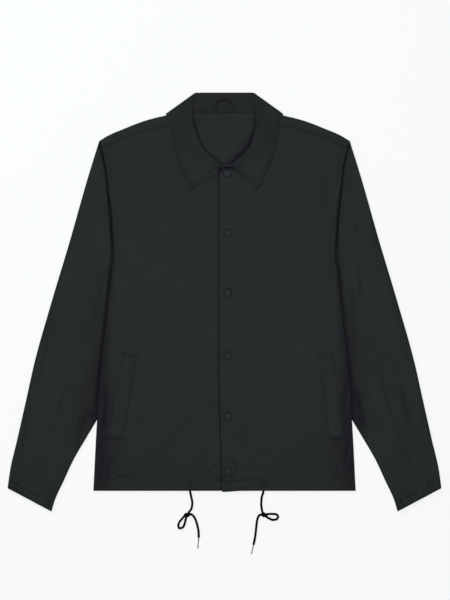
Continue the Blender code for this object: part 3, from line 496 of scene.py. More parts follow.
# Puckers where the hem is sewn, with the ones that the last snap pulls
PUCKERS = (  # x0, y0, x1, y1, half width, height
    (-206.0, -327.0, -190.0, -333.0, 1.9, -0.7),
    (-188.0, -331.0, -173.0, -334.0, 1.8, -0.8),
    (-174.0, -323.0, -167.0, -331.0, 1.8, -0.9),
    (-201.0, -346.0, -188.0, -338.0, 1.9, -0.9),
    (-179.0, -349.0, -177.0, -339.0, 1.8, -0.7),
    (-195.0, -324.0, -200.0, -312.0, 2.4, -0.5),
    (-183.0, -326.0, -180.0, -314.0, 2.4, 0.5),
    (-161.0, -350.0, -158.0, -338.0, 2.0, 0.6),
    (-146.0, -330.0, -137.0, -345.0, 1.8, -0.9),
    (-142.0, -340.0, -139.0, -350.0, 1.8, -0.7),
    (-126.0, -330.0, -118.0, -322.0, 2.0, -0.5),
    (-104.0, -337.0, -99.0, -349.0, 2.2, 0.5),
    (-87.0, -323.0, -82.0, -330.0, 1.8, -0.8),
    (-66.6, -337.0, -65.2, -352.0, 1.7, -0.9),
    (-62.0, -336.0, -61.0, -350.0, 2.2, 0.6),
    (-40.0, -338.0, -36.0, -348.0, 2.2, 0.4),
    (-20.0, -308.0, -13.0, -320.0, 2.4, -0.45),
    (-24.0, -322.0, -13.0, -330.0, 2.4, -0.5),
    (-30.0, -336.0, -20.0, -330.0, 2.0, -0.6),
    (0.0, -308.0, -4.0, -301.0, 2.2, -0.4),
    (14.0, -309.0, 17.0, -302.0, 2.6, -0.35),
    (16.0, -326.0, 25.0, -334.0, 2.1, -0.75),
    (-2.0, -327.0, -7.0, -338.0, 2.1, -0.75),
    (6.0, -329.0, 7.0, -341.0, 2.1, -0.55),
    (18.0, -316.0, 31.0, -313.0, 2.8, -0.35),
    (32.0, -326.0, 40.0, -336.0, 1.8, -0.8),
    (44.0, -338.0, 50.0, -329.0, 1.8, -0.8),
    (52.0, -328.0, 60.0, -338.0, 1.8, -0.8),
    (66.0, -349.0, 72.0, -337.0, 2.0, 0.5),
    (73.6, -337.0, 74.6, -352.0, 1.7, -0.9),
    (96.0, -330.0, 102.0, -321.0, 2.0, -0.5),
    (122.0, -338.0, 128.0, -349.0, 2.0, -0.5),
    (150.0, -330.0, 158.0, -322.0, 2.0, -0.5),
    (186.0, -337.0, 190.0, -348.0, 2.0, -0.5),
    (204.0, -330.0, 212.0, -320.0, 2.0, -0.6),
    (222.0, -346.0, 232.0, -334.0, 2.4, -0.6),
)
# Painted shade: darkening painted into the cloth's colour where less light reaches it, where it dips beside
# another layer, in creases and seams, and under the collar
SIDE_SHADE = (  # y, shade at the body's side, how far in it reaches
    (-354.0, 0.24, 68.0),
    (-316.0, 0.26, 72.0),
    (-259.0, 0.32, 74.0),
    (-184.0, 0.32, 52.0),
    (-109.0, 0.34, 22.0),
    (4.0, 0.32, 12.0),
    (92.0, 0.34, 8.0),
    (302.0, 0.22, 6.0),
)
VALLEY_SHADE = (  # y, shade of a sleeve beside the body
    (-300.0, 0.20),
    (-200.0, 0.26),
    (-90.0, 0.20),
    (0.0, 0.10),
    (92.0, 0.06),
    (302.0, 0.04),
)
CREVICE_SHADE = 0.12  # where a sleeve meets the body
SEAM_SHADE = 0.28  # along the seams at the shoulders and behind the neck
SEAM_REACH = 1.6
SEAM_END_FADE = 4.0
PLACKET_SHADE = 0.34  # on the lower front, beside the upper one's edge
PLACKET_REACH = 1.6
PLACKET_OFFSET = 0.8
SNAP_SHADE = 0.3
SNAP_RING = 1.5  # from a snap's edge to the middle of the shade round it
SNAP_RING_REACH = 1.2
FALL_SHADE = {1: 0.28, -1: 0.16}  # beside the collar's free edge, on the left and on the right
FALL_SHADE_REACH = 3.4
STAND_SHADE = 0.08
TAPE_SHADE = 0.25
TAPE_EDGE_SHADE = 0.55
TOP_SNAP_SHADES = (  # x0, y0, x1, y1, half width, shade: painted shadow of the collar's front ends round the top snap
    (-11.0, 245.5, -4.0, 251.5, 2.6, 0.9),
    (-2.0, 252.4, 14.0, 252.6, 2.3, 0.6),
    (14.0, 252.6, 24.0, 245.0, 2.4, 0.55),
    (-8.0, 243.0, -28.0, 233.0, 2.6, 0.35),
    (24.0, 245.0, 38.0, 232.0, 2.6, 0.3),
)
FRONT_SHADES = (  # x0, y0, x1, y1, half width, shade: painted shade in the creases and folds beside the welts and the sides
    (-228.0, -254.5, -194.0, -259.5, 3.0, 0.16),
    (226.0, -254.5, 194.0, -258.5, 3.0, 0.15),
    (-220.0, -176.0, -227.0, -236.0, 4.4, 0.10),
    (-234.0, -262.0, -231.0, -330.0, 4.0, 0.10),
    (-214.0, -290.0, -226.0, -346.0, 3.4, 0.14),
    (230.0, -262.0, 224.0, -330.0, 4.0, 0.12),
    (214.0, -300.0, 206.0, -344.0, 3.4, 0.12),
)
SLEEVE_SHADES = {  # side: x0, y0, x1, y1, half width, shade
    "right": (
        (262.0, -206.0, 281.0, -278.0, 6.0, 0.22),
        (250.0, -204.0, 252.0, -226.0, 5.4, 0.16),
        (262.0, -150.0, 270.0, -196.0, 8.0, 0.12),
    ),
    "left": (
        (246.0, -168.0, 262.0, -240.0, 7.0, 0.22),
        (330.0, -170.0, 352.0, -250.0, 6.0, 0.12),
        (238.0, 20.0, 246.0, -90.0, 7.0, 0.14),
    ),
}
ROLL_SHADE = (  # y, shade and reach inside the roll on the left, shade and reach on the right
    (255.0, 0.45, 4.5, 0.35, 3.0),
    (272.0, 0.60, 7.0, 0.35, 3.2),
    (290.0, 0.62, 8.0, 0.30, 3.2),
    (312.0, 0.62, 6.0, 0.25, 3.2),
    (330.0, 0.45, 3.6, 0.45, 4.0),
    (350.0, 0.20, 3.0, 0.15, 3.0),
)
ROLL_SHADE_START_Y = 240.0
ROLL_SHADE_FADE = 15.0
COLLAR_SHADES = (  # x0, y0, x1, y1, half width, shade
    (61.0, 352.0, 62.0, 322.0, 5.0, 0.2),
    (-62.0, 340.0, -58.0, 318.0, 5.0, 0.08),
    (-34.0, 262.0, -14.0, 252.0, 4.0, 0.12),
    (34.0, 262.0, 18.0, 252.0, 4.0, 0.15),
)

CORDS = {  # side: stretch: x, y, z
    "right": {
        "lead": ((-64.8, -354.9, 2.3), (-62.4, -367.1, 2.0), (-60.6, -378.4, 2.0), (-62.0, -388.0, 2.0),
                 (-67.2, -395.6, 2.4)),
        "loop": ((-75.6, -403.0, 2.4), (-80.0, -408.0, 2.0), (-84.6, -413.6, 2.0), (-87.0, -420.0, 2.0),
                 (-84.6, -425.6, 2.0), (-79.0, -424.2, 2.0), (-75.0, -416.8, 2.0), (-72.4, -406.4, 2.4)),
        "tail": ((-63.3, -399.4, 2.4), (-59.0, -402.0, 2.0), (-54.4, -409.8, 2.0), (-51.1, -420.6, 2.0),
                 (-48.9, -432.0, 2.0), (-48.5, -443.4, 2.0)),
        "tip": ((-48.5, -443.8, 2.0), (-50.4, -464.5, 2.0)),
    },
    "left": {
        "lead": ((73.1, -355.4, 2.3), (69.9, -367.9, 2.0), (69.0, -380.3, 2.0), (70.0, -389.0, 2.1),
                 (71.2, -394.9, 2.4)),
        "loop": ((80.7, -399.0, 2.4), (88.0, -398.6, 2.0), (96.0, -399.0, 2.0), (100.8, -403.6, 2.0),
                 (97.8, -408.6, 2.0), (91.4, -409.8, 2.0), (84.6, -407.4, 2.0), (79.0, -404.0, 2.4)),
        "tail": ((67.7, -400.2, 2.4), (64.2, -402.6, 2.0), (61.4, -410.3, 2.0), (59.8, -422.4, 2.0),
                 (58.1, -438.2, 2.0), (56.0, -450.5, 2.0), (54.5, -456.6, 2.0)),
        "tip": ((54.4, -457.0, 2.0), (50.4, -474.7, 2.0)),
    },
}
KNOT_PLACES = {"right": (-69.9, -399.9, 3.8), "left": (74.4, -399.9, 3.8)}

# Colours as linear red, green and blue
CLOTH_COLOUR = (0.0170, 0.0215, 0.0225)
COLLAR_COLOUR = (0.0153, 0.0193, 0.0208)
THREAD_COLOUR = (0.0120, 0.0150, 0.0155)
TAPE_COLOUR = (0.0150, 0.0175, 0.0190)
CORD_COLOUR = (0.0085, 0.0085, 0.0092)
SNAP_COLOUR = (0.037, 0.044, 0.046)
TIP_COLOUR = (0.62, 0.62, 0.63)
FLOOR_COLOUR = (0.86, 0.86, 0.86)
LIGHT_COLOUR = (0.92, 1.0, 1.03)
SHADE_DEPTH = (0.82, 1.0, 0.76)  # how much of each colour a full painted shade takes away
SHADE_DULLING = 0.12  # painted shade also makes the cloth rougher by this much, which dims its reflection there

CLOTHS = (  # name, colour, pitch of its threads, roughness, sheen
    ("nylon_cloth", CLOTH_COLOUR, 0.45, 0.52, 0.12),
    ("collar_cloth", COLLAR_COLOUR, 0.45, 0.52, 0.12),
    ("tape_weave", TAPE_COLOUR, 0.7, 0.56, 0.1),
    ("thread", THREAD_COLOUR, 0.3, 0.6, 0.1),
)

# Studio, in metres and watts
FLOOR_HALF = 12.0
FLOOR_DROP = 0.0002
FLOOR_GLOW = 0.66
SKY_STRENGTH = 0.12
LIGHTS = (  # name, place, size, power
    ("overhead", (0.0, 0.0, 6.3), 3.4, 80.0),
    ("key", (-1.3, 1.5, 1.6), 1.0, 5.0),
)


def smooth(t):
    """0 below 0, 1 above 1 and an S-curve between."""
    t = np.clip(t, 0.0, 1.0)
    return t * t * (3.0 - 2.0 * t)


def arc(t):
    """Height of a quarter round at t of its width: 0 at 0 and 1 from 1 on."""
    return np.sqrt(1.0 - (1.0 - np.clip(t, 0.0, 1.0)) ** 2)


def bell(distance, reach):
    """1 at no distance, falling off softly over the reach."""
    return np.exp(-((distance / reach) ** 2))


def through(table):
    """A smooth curve through a table's points that never swings past them."""
    xs, ys = (np.array(column, float) for column in zip(*table))
    steps = np.diff(xs)
    slopes = np.diff(ys) / steps
    before, after = slopes[:-1], slopes[1:]
    agree = before * after > 0
    total = np.where(agree, before + after, 1.0)
    middle = np.where(agree, 2.0 * before * after / total, 0.0)
    tangents = np.concatenate([slopes[:1], middle, slopes[-1:]])

    def at(x):
        x = np.clip(x, xs[0], xs[-1])
        i = np.clip(np.searchsorted(xs, x) - 1, 0, len(steps) - 1)
        h = steps[i]
        t = (x - xs[i]) / h
        start = (1 + 2 * t) * (1 - t) ** 2 * ys[i] + t * (1 - t) ** 2 * h * tangents[i]
        end = t * t * (3 - 2 * t) * ys[i + 1] - t * t * (1 - t) * h * tangents[i + 1]
        return start + end

    return at


def route(points):
    """The curve through points as a function of the share of its length, from 0 to 1."""
    points = np.array(points, float)
    reach = np.concatenate([[0.0], np.cumsum(np.linalg.norm(np.diff(points, axis=0), axis=1))])
    axes = [through(list(zip(reach, column))) for column in points.T]
    return lambda share: np.stack([axis(np.asarray(share) * reach[-1]) for axis in axes], axis=-1)


def graded(stretches, start=0.0):
    """Places from start on, through stretches given as (end, step)."""
    places = [start]
    for end, step in stretches:
        count = max(1, round((end - places[-1]) / step))
        places.extend(np.linspace(places[-1], end, count + 1)[1:])
    return np.array(places)


half_width = through(BODY_SIDE)
shoulder_fold = through(SHOULDER_FOLD)
shoulder_seam = through(SHOULDER_SEAM)
sleeve_outer = through(SLEEVE_OUTER)
sleeve_inner = through(SLEEVE_INNER)
armhole_groove = through(ARMHOLE_GROOVE)
valley_width = through(VALLEY_WIDTH)
valley_shade = through(VALLEY_SHADE)
side_shade = through([(y, shade) for y, shade, _ in SIDE_SHADE])
side_shade_reach = through([(y, reach) for y, _, reach in SIDE_SHADE])
side_fall = through(SIDE_FALL)
neck_lean = through(NECK_LEAN)
left_roll_shade, left_roll_reach, right_roll_shade, right_roll_reach = (
    through([(row[0], row[column]) for row in ROLL_SHADE]) for column in (1, 2, 3, 4)
)
roll_line = route(ROLL)
fall_edge = route(FALL_EDGE)
loop_path = route(LOOP_PATH)


def back_neck(x):
    """Height of the neck seam on the back panel."""
    top = shoulder_fold(NECK_HALF) - NECK_END_DROP
    rise = smooth((np.abs(x) - NECK_FLAT) / (NECK_HALF - NECK_FLAT))
    return BACK_NECK_Y + (top - BACK_NECK_Y) * rise


def fall_back_edge(x):
    """Lower edge of the fall behind the back panel, and its line beyond the shoulder."""
    x = np.abs(x)
    end = FOLD_END[0]
    rise = FOLD_END[1] - FALL_BACK_Y
    beyond = FALL_BACK_SLOPE * np.maximum(x - end, 0.0)
    return FALL_BACK_Y + rise * (np.minimum(x, end) / end) ** 2 + beyond


def fold_height(folds, x, y):
    """Sum of the soft ridges and troughs of a table of folds at x, y."""
    total = np.zeros(np.broadcast(x, y).shape)
    for x0, y0, x1, y1, width, height in folds:
        along = ((x - x0) * (x1 - x0) + (y - y0) * (y1 - y0)) / ((x1 - x0) ** 2 + (y1 - y0) ** 2)
        t = np.clip(along, 0.0, 1.0)
        distance = np.hypot(x - x0 - t * (x1 - x0), y - y0 - t * (y1 - y0))
        ends = smooth((along + 0.25) / 0.5) * smooth((1.25 - along) / 0.5)
        total += height * ends * bell(distance, width)
    return total


def crease_height(creases, x, y):
    """Creases that meander a little, as cloth that was folded does."""
    swayed_x = x + sum(sway * np.sin(y / length + start) for sway, length, start in SWAY_X)
    swayed_y = y + sum(sway * np.sin(x / length + start) for sway, length, start in SWAY_Y)
    return fold_height(creases, swayed_x, swayed_y)


def undulation(x, y):
    """Slight unevenness all over a panel that was laid down and smoothed by hand."""
    slow = np.sin(x / 47.0 + 0.8 * np.sin(y / 61.0)) * np.sin(y / 83.0 + 0.6 * np.sin(x / 39.0))
    quick = np.sin(x / 19.0 + y / 37.0 + 1.1 * np.sin(y / 29.0)) * np.sin(y / 31.0 - x / 53.0)
    return SLOW_UNDULATION * slow + QUICK_UNDULATION * quick


def distance_to(curve, x, y):
    """How far x, y lies from a curve."""
    samples = curve(np.linspace(0.0, 1.0, CURVE_SAMPLES))
    across = np.asarray(x)[..., None] - samples[:, 0]
    return np.min(np.hypot(across, np.asarray(y)[..., None] - samples[:, 1]), axis=-1)


def roll_rise(x, y):
    """How far the collar's roll lifts the cloth at x, y."""
    distance = distance_to(roll_line, np.abs(x - neck_lean(y)), y)
    strength = smooth((ROLL_END_Y - y) / ROLL_END_FADE) * smooth((y - ROLL_START_Y) / ROLL_START_FADE)
    return ROLL_RISE * strength * bell(distance, ROLL_REACH)


def back_bottom(x, y):
    """Underside of the back panel: flat, but lifted over the sleeves and the folded collar."""
    ax = np.abs(x)
    side = smooth((ax - sleeve_inner(y) + LIFT_MARGIN + LIFT_RAMP) / LIFT_RAMP)
    side = side * smooth((UNDERARM_Y - y) / UNDERARM_FADE)
    collar = smooth((y - fall_back_edge(x) + LIFT_MARGIN + LIFT_RAMP) / LIFT_RAMP)
    return SLEEVE_LIFT * side + COLLAR_LIFT * collar


def casing_swell(rise):
    """Swelling of the hem's channel, pinched at its stitch line, at a height above the hem."""
    return CASING_SWELL * np.sin(np.pi * np.clip(rise / HEM_CASING, 0.0, 1.0)) ** 0.5


def hem_gathers(x, rise):
    """Gathers across the hem's stitch line, leaning a little and of uneven strength."""
    strength = GATHER_BASE + sum(level * bell(x - middle, reach) for middle, reach, level in HEM_GATHERS)
    leaning = x + GATHER_LEAN * (rise - HEM_CASING)
    phase = 2.0 * np.pi * leaning / GATHER_PITCH + 1.9 * np.sin(x / 21.0) + 1.1 * np.sin(x / 8.7)
    away = np.where(rise < HEM_CASING, (HEM_CASING - rise) * 0.9, rise - HEM_CASING)
    return GATHER_HEIGHT * strength * np.cos(phase) * bell(away, GATHER_REACH) * smooth(rise / 4.0)


def groove(y):
    """Depth of the armhole's groove, none below the underarm."""
    return armhole_groove(y) * smooth((y - GROOVE_START_Y) / GROOVE_FADE)


def single_front(x, y):
    """Outer face of one front layer."""
    rise = y - HEM_Y
    whole, fading = HEM_DROP_REACH
    press = HEM_DROP * (1.0 - smooth((rise - whole) / fading))
    clear_of_hem = smooth((rise - HEM_CASING) / FOLD_FADE)
    folds = (fold_height(BODY_FOLDS, np.abs(x), y) + undulation(x, y)) * clear_of_hem
    creases = crease_height(FRONT_CREASES, x, y) * smooth(rise / CREASE_FADE)
    creases = creases + crease_height(PUCKERS, x, y) * smooth(rise / PUCKER_FADE)
    from_side = half_width(y) - np.abs(x)
    armhole = GROOVE_SHARE * groove(y) * (1.0 - arc(from_side / GROOVE_WIDTH))
    fallen = side_fall(y) * (1.0 - smooth(from_side / SIDE_FALL_REACH))
    topstitch = STITCH_DIP * bell(from_side - ARMHOLE_STITCH, DIP_REACH)
    topstitch = topstitch * smooth((y - ARMHOLE_STITCH_START_Y) / 8.0)
    hem_stitch = HEM_STITCH_DIP * bell(rise - HEM_CASING, DIP_REACH)
    base = LOFT + FRONT_SHARE * back_bottom(x, y) - press + roll_rise(x, y)
    return base + folds + creases + hem_gathers(x, rise) - armhole - fallen - topstitch - hem_stitch


def over_front(x, y):
    """Outer face of the upper front, which lies on the lower one and settles beside it."""
    overlap = 1.0 - smooth((x - UNDER_EDGE - OVERLAP_MARGIN) / OVERLAP_FADE)
    dents = sum(
        SNAP_DENT * bell(np.hypot(x - snap_x, y - snap_y), SNAP_DENT_REACH) for snap_x, snap_y in SNAPS
    )
    lift = (WALL + LAYER_GAP + casing_swell(y - HEM_Y)) * overlap
    return single_front(x, y) + lift - dents * overlap


def front_top(x, y):
    """Topmost face of the fronts, bridging the step at the upper front's edge."""
    bridge = smooth((x - OVER_EDGE + BRIDGE_START) / BRIDGE_REACH)
    bare = single_front(x, y) + (WALL + LAYER_GAP) * bridge
    return np.where(x < OVER_EDGE, bare, over_front(x, y))


def front_face(x, y, side):
    """Outer face of the left front, which is the upper one, or of the right front."""
    return over_front(x, y) if side > 0 else single_front(x, y)


def rising(t):
    """From 0 to 1, steepest at its start."""
    return np.sin(0.5 * np.pi * np.clip(t, 0.0, 1.0))


def sleeve_top(x, y, sleeve):
    """Outer face of a sleeve: level with the body at the armhole, low where the body covers it."""
    out = x - half_width(y)
    brow = rising(out / sleeve.brow(y))
    joined = LOFT + (CROWN - LOFT) * smooth(out / ARMHOLE_REACH) - groove(y) * (1.0 - brow)
    covered = VALLEY + (BROW - VALLEY) * brow + (CROWN - BROW) * smooth(out / valley_width(y))
    blend = smooth((y - UNDERARM_Y) / UNDERARM_FADE + 1.0)
    folds = fold_height(SLEEVE_FOLDS, x, y) + crease_height(sleeve.creases, x, y)
    folds = folds + SLEEVE_UNEVENNESS * undulation(x, y)
    return covered + (joined - covered) * blend + folds * smooth(out / SLEEVE_FOLD_FADE)


def sleeve_shade(x, y, sleeve):
    """How much less light reaches a sleeve beside the body."""
    out = np.maximum(x - half_width(y), 0.0)
    crevice = CREVICE_SHADE * bell(out, 0.5 * sleeve.brow(y))
    hollow = valley_shade(y) * (1.0 - smooth(out / valley_width(y)))
    return np.clip(crevice + hollow + fold_height(SLEEVE_SHADES[sleeve.word], x, y), 0.0, 1.0)


def body_shade(x, y):
    """How much less light reaches the body towards its sides."""
    from_side = half_width(y) - np.abs(x)
    return side_shade(y) * (1.0 - smooth(from_side / side_shade_reach(y)))


def seam_shade(x, y):
    """Painted shade along the shoulder seam, which draws its dark line."""
    beyond_neck = smooth((np.abs(x) - NECK_HALF) / SEAM_END_FADE)
    return SEAM_SHADE * beyond_neck * bell(shoulder_seam(np.abs(x)) - y, SEAM_REACH)


def front_shade(x, y, side):
    """How much less light reaches a front, with the dents round its snaps and the collar over it."""
    shade = body_shade(x, y) + seam_shade(x, y) + fold_height(TOP_SNAP_SHADES + FRONT_SHADES, x, y)
    shade = shade + FALL_SHADE[side] * bell(distance_to(fall_edge, np.abs(x), y), FALL_SHADE_REACH)
    if side < 0:
        from_edge = x - OVER_EDGE - edge_drift(y) + PLACKET_OFFSET
        shade = shade + PLACKET_SHADE * bell(from_edge, PLACKET_REACH)
    else:
        for snap_x, snap_y in SNAPS:
            from_ring = np.hypot(x - snap_x, y - snap_y) - SNAP_RADIUS - SNAP_RING
            shade = shade + SNAP_SHADE * bell(from_ring, SNAP_RING_REACH)
    return np.clip(shade, 0.0, 1.0)


def neck_shade(x, y):
    """How much less light reaches the inside of the back panel at the neck."""
    behind_neck = smooth((NECK_HALF - np.abs(x)) / SEAM_END_FADE)
    seam = SEAM_SHADE * bell(back_neck(x) - y, SEAM_REACH) * behind_neck
    inside = distance_to(roll_line, np.abs(x - neck_lean(y)), y)
    left = left_roll_shade(y) * bell(inside, left_roll_reach(y))
    right = right_roll_shade(y) * bell(inside, right_roll_reach(y))
    beside_roll = np.where(x > 0.0, left, right) * smooth((y - ROLL_SHADE_START_Y) / ROLL_SHADE_FADE)
    return np.clip(seam + beside_roll, 0.0, 1.0)


def add_object(name, points, faces, finish, sharp=50.0, shade=None):
    """A mesh piece with outward faces, from points in millimetres, that rides on the jacket.

    shade is the painted shade at each point, how much less light is taken to reach it, from 0 to 1; it is
    kept as the mesh's shade attribute.
    """
    mesh = bpy.data.meshes.new(name)
    mesh.from_pydata((np.asarray(points) * MM).tolist(), [], faces)
    if shade is not None:
        values = mesh.attributes.new("shade", "FLOAT", "POINT")
        values.data.foreach_set("value", np.asarray(shade, np.float32).ravel())
    form = bmesh.new()
    form.from_mesh(mesh)
    unused = [vertex for vertex in form.verts if not vertex.link_faces]
    bmesh.ops.delete(form, geom=unused, context="VERTS")
    bmesh.ops.recalc_face_normals(form, faces=form.faces)
    form.to_mesh(mesh)
    form.free()
    mesh.shade_smooth()
    mesh.set_sharp_from_angle(angle=math.radians(sharp))
    mesh.materials.append(finish)
    made = bpy.data.objects.new(name, mesh)
    bpy.context.collection.objects.link(made)
    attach(made, "root")
    return made


def add_wall(name, outer, inner, finish, slot, ring=False, missing=None, shade=None):
    """A closed wall between two grids of rows and columns; ring joins the last column to the first.

    missing marks the cells that are left open. shade is for both faces, or has a row for each.
    """
    rows, columns = outer.shape[:2]
    count = rows * columns
    places = np.arange(count).reshape(rows, columns)
    if ring:
        places = np.concatenate([places, places[:, :1]], axis=1)
    cells = np.stack([places[:-1, :-1], places[:-1, 1:], places[1:, 1:], places[1:, :-1]], -1)
    cells = cells.reshape(-1, 4) if missing is None else cells[~missing]
    starts, ends = cells.ravel(), np.roll(cells, -1, axis=1).ravel()
    single = ~np.isin(starts * count + ends, ends * count + starts)
    a, b = starts[single], ends[single]
    rim = np.stack([b, a, a + count, b + count], -1)
    faces = np.concatenate([cells, cells[:, ::-1] + count, rim])
    points = np.concatenate([outer.reshape(-1, 3), inner.reshape(-1, 3)])
    both = None if shade is None else np.broadcast_to(shade, (2, rows, columns))
    return add_object(name, points, faces.tolist(), finish, shade=both)


def rounded(outer, inner, distance):
    """Draws the two faces of a wall together at a folded edge, by the distance from that edge."""
    pinch = RIM_PINCH * (1.0 - arc(distance / RIM))
    outer[..., 2] -= pinch
    inner[..., 2] += pinch


def ring_turns(sides):
    """Angles of the corners round a ring."""
    return 2.0 * np.pi * np.arange(sides) / sides


def tube(path, radii, sides):
    """Points and faces of a closed tube round a path.

    radii has a row for each ring, with one value or one for each side.
    """
    path = np.asarray(path, float)
    tangent = np.gradient(path, axis=0)
    tangent /= np.linalg.norm(tangent, axis=1)[:, None]
    across = np.cross(tangent[0], (0.0, 0.0, 1.0))
    if np.linalg.norm(across) < 0.1:
        across = np.cross(tangent[0], (1.0, 0.0, 0.0))
    turns = ring_turns(sides)
    rings = []
    for place, ahead, radius in zip(path, tangent, radii):
        across = across - ahead * np.dot(across, ahead)
        across /= np.linalg.norm(across)
        up = np.cross(across, ahead)
        rings.append(place + np.outer(radius * np.cos(turns), across) + np.outer(radius * np.sin(turns), up))
    return np.concatenate(rings), tube_faces(len(rings), sides)


def tube_faces(rings, sides):
    """Faces of a closed tube."""
    faces = []
    for ring in range(rings - 1):
        for step in range(sides):
            after = (step + 1) % sides
            low, high = ring * sides, (ring + 1) * sides
            faces.append((low + step, low + after, high + after, high + step))
    last = (rings - 1) * sides
    faces.append(tuple(reversed(range(sides))))
    faces.append(tuple(last + step for step in range(sides)))
    return faces


def side_curl(y):
    """1 where the front and back panels turn in to meet at the side seam, 0 along the armhole."""
    return smooth((UNDERARM_Y + 6.0 - y) / 12.0)


def curled(x, y, face, other):
    """Outer and inner points of a panel whose side edge turns in, halfway to the opposite panel.

    face and other are the heights of this panel's outer face and of the opposite panel's.
    """
    toward = np.sign(face - other)
    seam = (face + other) / 2.0 + toward * SEAM_GAP / 2.0
    radius = SIDE_ROUND * np.abs(face - other)
    curl = side_curl(y)
    depth = np.maximum(half_width(y) - SEAM_GAP / 2.0 - np.abs(x), 0.0)
    inset = WALL * curl * (1.0 - smooth(depth / SIDE_INSET_REACH))
    inner_x = x - np.sign(x) * inset
    turn_out = 1.0 - curl * (1.0 - arc(depth / radius))
    inner_depth = np.maximum(depth + inset - WALL * curl, 0.0)
    turn_in = 1.0 - curl * (1.0 - arc(inner_depth / radius))
    outer_z = seam + (face - seam) * turn_out
    inner_z = seam + (face - toward * WALL - seam) * turn_in
    return np.stack([x, y, outer_z], -1), np.stack([inner_x, y, inner_z], -1)


def hem_rows():
    """Heights of the first rows above the hem, close together at its edge and its stitch line."""
    casing = HEM_CASING
    return graded(((RIM, 0.25), (4.0, 1.2), (casing - 3.0, 2.4), (casing + 3.0, 0.75), (70.0, 1.6)))


def front_rows(full, side):
    """Heights of a front's rows, close together at its hem, its snaps and the shoulder seam."""
    rows = hem_rows()
    stretches = []
    if side > 0:
        longer = full / (NECK_TOP - NECK_DROP - HEM_Y)
        for _, snap_y in reversed(SNAPS[:-1]):
            place = (snap_y - HEM_Y) * longer
            stretches += [(place - FINE_REACH, ROW_STEP), (min(place + FINE_REACH, full), FINE_STEP)]
    else:
        stretches = [(full - FINE_REACH, ROW_STEP), (full, FINE_STEP)]
    return np.concatenate([rows, graded(stretches, rows[-1])[1:]])


def side_offsets():
    """Distances of a panel's last columns from its side, down to none."""
    stitch = ARMHOLE_STITCH
    places = graded(((1.0, 0.25), (4.0, 0.6), (stitch - 2.5, 1.2), (stitch + 2.5, 0.83), (16.0, 2.0)))
    return places[::-1]


def edge_offsets(side):
    """Distances of a front's first columns from its free edge."""
    if side > 0:
        return graded(((RIM, 0.25), (27.0, FINE_STEP), (32.0, 2.0)))
    lap = UNDER_EDGE - OVER_EDGE
    return graded(((RIM, 0.25), (lap - 8.0, 2.8), (lap + 4.0, 0.8), (lap + 10.0, 2.0)))


def neck_edge(side, angles, inside=0.0):
    """Points of the front neck seam, at angles from the centre front, or a little inside the neck."""
    x = side * (NECK_HALF - inside) * np.sin(angles) + NECK_SHIFT * np.cos(angles)
    return np.stack([x, NECK_TOP - (NECK_DROP - inside) * np.cos(angles)], -1)


def shoulder_end():
    """Angle of the neck seam at the shoulder seam."""
    return math.acos((NECK_TOP - SEAM_NECK_Y) / NECK_DROP)


def shoulder_columns():
    """Places of the columns that the front and the back share along the shoulder seam."""
    corner = half_width(SEAM_TIP_Y) - SEAM_GAP / 2.0
    sides = corner - side_offsets()
    return np.concatenate([graded(((sides[0], COLUMN_STEP),), NECK_HALF)[1:-1], sides])


def edge_drift(y):
    """How far the upper front's free edge has moved to the left towards the hem."""
    return EDGE_DRIFT * (1.0 - smooth((y - HEM_Y) / DRIFT_HEIGHT))


def lapped(x, y, edge):
    """Points of the upper front, moved as its free edge drifts and its lower corner hangs."""
    rise = y - HEM_Y
    across, up = LAP_DROP_REACH
    near_edge = 1.0 - smooth((x - edge) / across)
    return x + edge_drift(y) * near_edge, y - LAP_DROP * near_edge * (1.0 - smooth(rise / up))


def front_plan(side, edge):
    """Places of a front's grid, and their distances from its free edge and up from its hem.

    Its columns run from the hem to the neck seam or the shoulder seam, and bulge with the body's side.
    """
    offsets = edge_offsets(side)
    first = np.arcsin(((edge + offsets) * side - NECK_SHIFT) * side / NECK_HALF)
    arc_step = COLUMN_STEP / NECK_DROP
    angles = np.concatenate([first, graded(((shoulder_end(), arc_step),), first[-1])[1:]])
    neck = neck_edge(side, angles)
    seam_x = shoulder_columns()
    sides = side_offsets()
    top_x = np.concatenate([neck[:, 0] * side, seam_x])
    top_y = np.concatenate([neck[:, 1], shoulder_seam(seam_x)]) - SEAM_GAP / 2.0
    corner = half_width(HEM_Y) - SEAM_GAP / 2.0
    middle = np.linspace(edge + offsets[-1], corner - sides[0], len(top_x) - len(sides) - len(offsets) + 2)
    hem_x = np.concatenate([edge + offsets, middle[1:-1], corner - sides])
    share = (hem_x - edge) / (corner - edge)
    full = SEAM_TIP_Y - HEM_Y
    height = (front_rows(full, side) / full)[:, None]
    side_y = HEM_Y + (top_y[-1] - HEM_Y) * height
    bulge = half_width(side_y) - SEAM_GAP / 2.0 - (1.0 - height) * hem_x[-1] - height * top_x[-1]
    x = side * ((1.0 - height) * hem_x + height * top_x + share * bulge)
    y = (1.0 - height) * HEM_Y + height * top_y
    return x, y, np.broadcast_to(hem_x - edge, x.shape), np.broadcast_to(height * full, x.shape)


def add_front(word, edge, finish):
    """One front, from its hem channel up to the neck and the shoulder seam; edge is its free edge."""
    side = SIDES[word]
    x, y, from_edge, from_hem = front_plan(side, edge)
    top = front_face(x, y, side)
    swell = casing_swell(y - HEM_Y)
    if side > 0:
        x, y = lapped(x, y, edge)
    outer, inner = curled(x, y, top, back_bottom(x, y))
    outer[..., 2] += swell
    if side < 0:
        beside = x - OVER_EDGE - edge_drift(y) + PRESS_OFFSET
        below_neck = smooth((NECK_TOP - NECK_DROP - y) / PRESS_FADE)
        outer[..., 2] -= PRESS_DEPTH * bell(beside, PRESS_REACH) * below_neck
    rounded(outer, inner, np.minimum(from_edge, from_hem))
    # painted shade: towards the sides, along the seams and the placket edge, round the snaps and under the
    # collar
    shade = front_shade(x, y, side)
    made = add_wall(f"front_{word}_cloth", outer, inner, finish, "nylon", shade=shade)
    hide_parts(f"front_{word}")


FOLD_TURNS = np.radians(np.linspace(0.0, 180.0, 13)[1:])
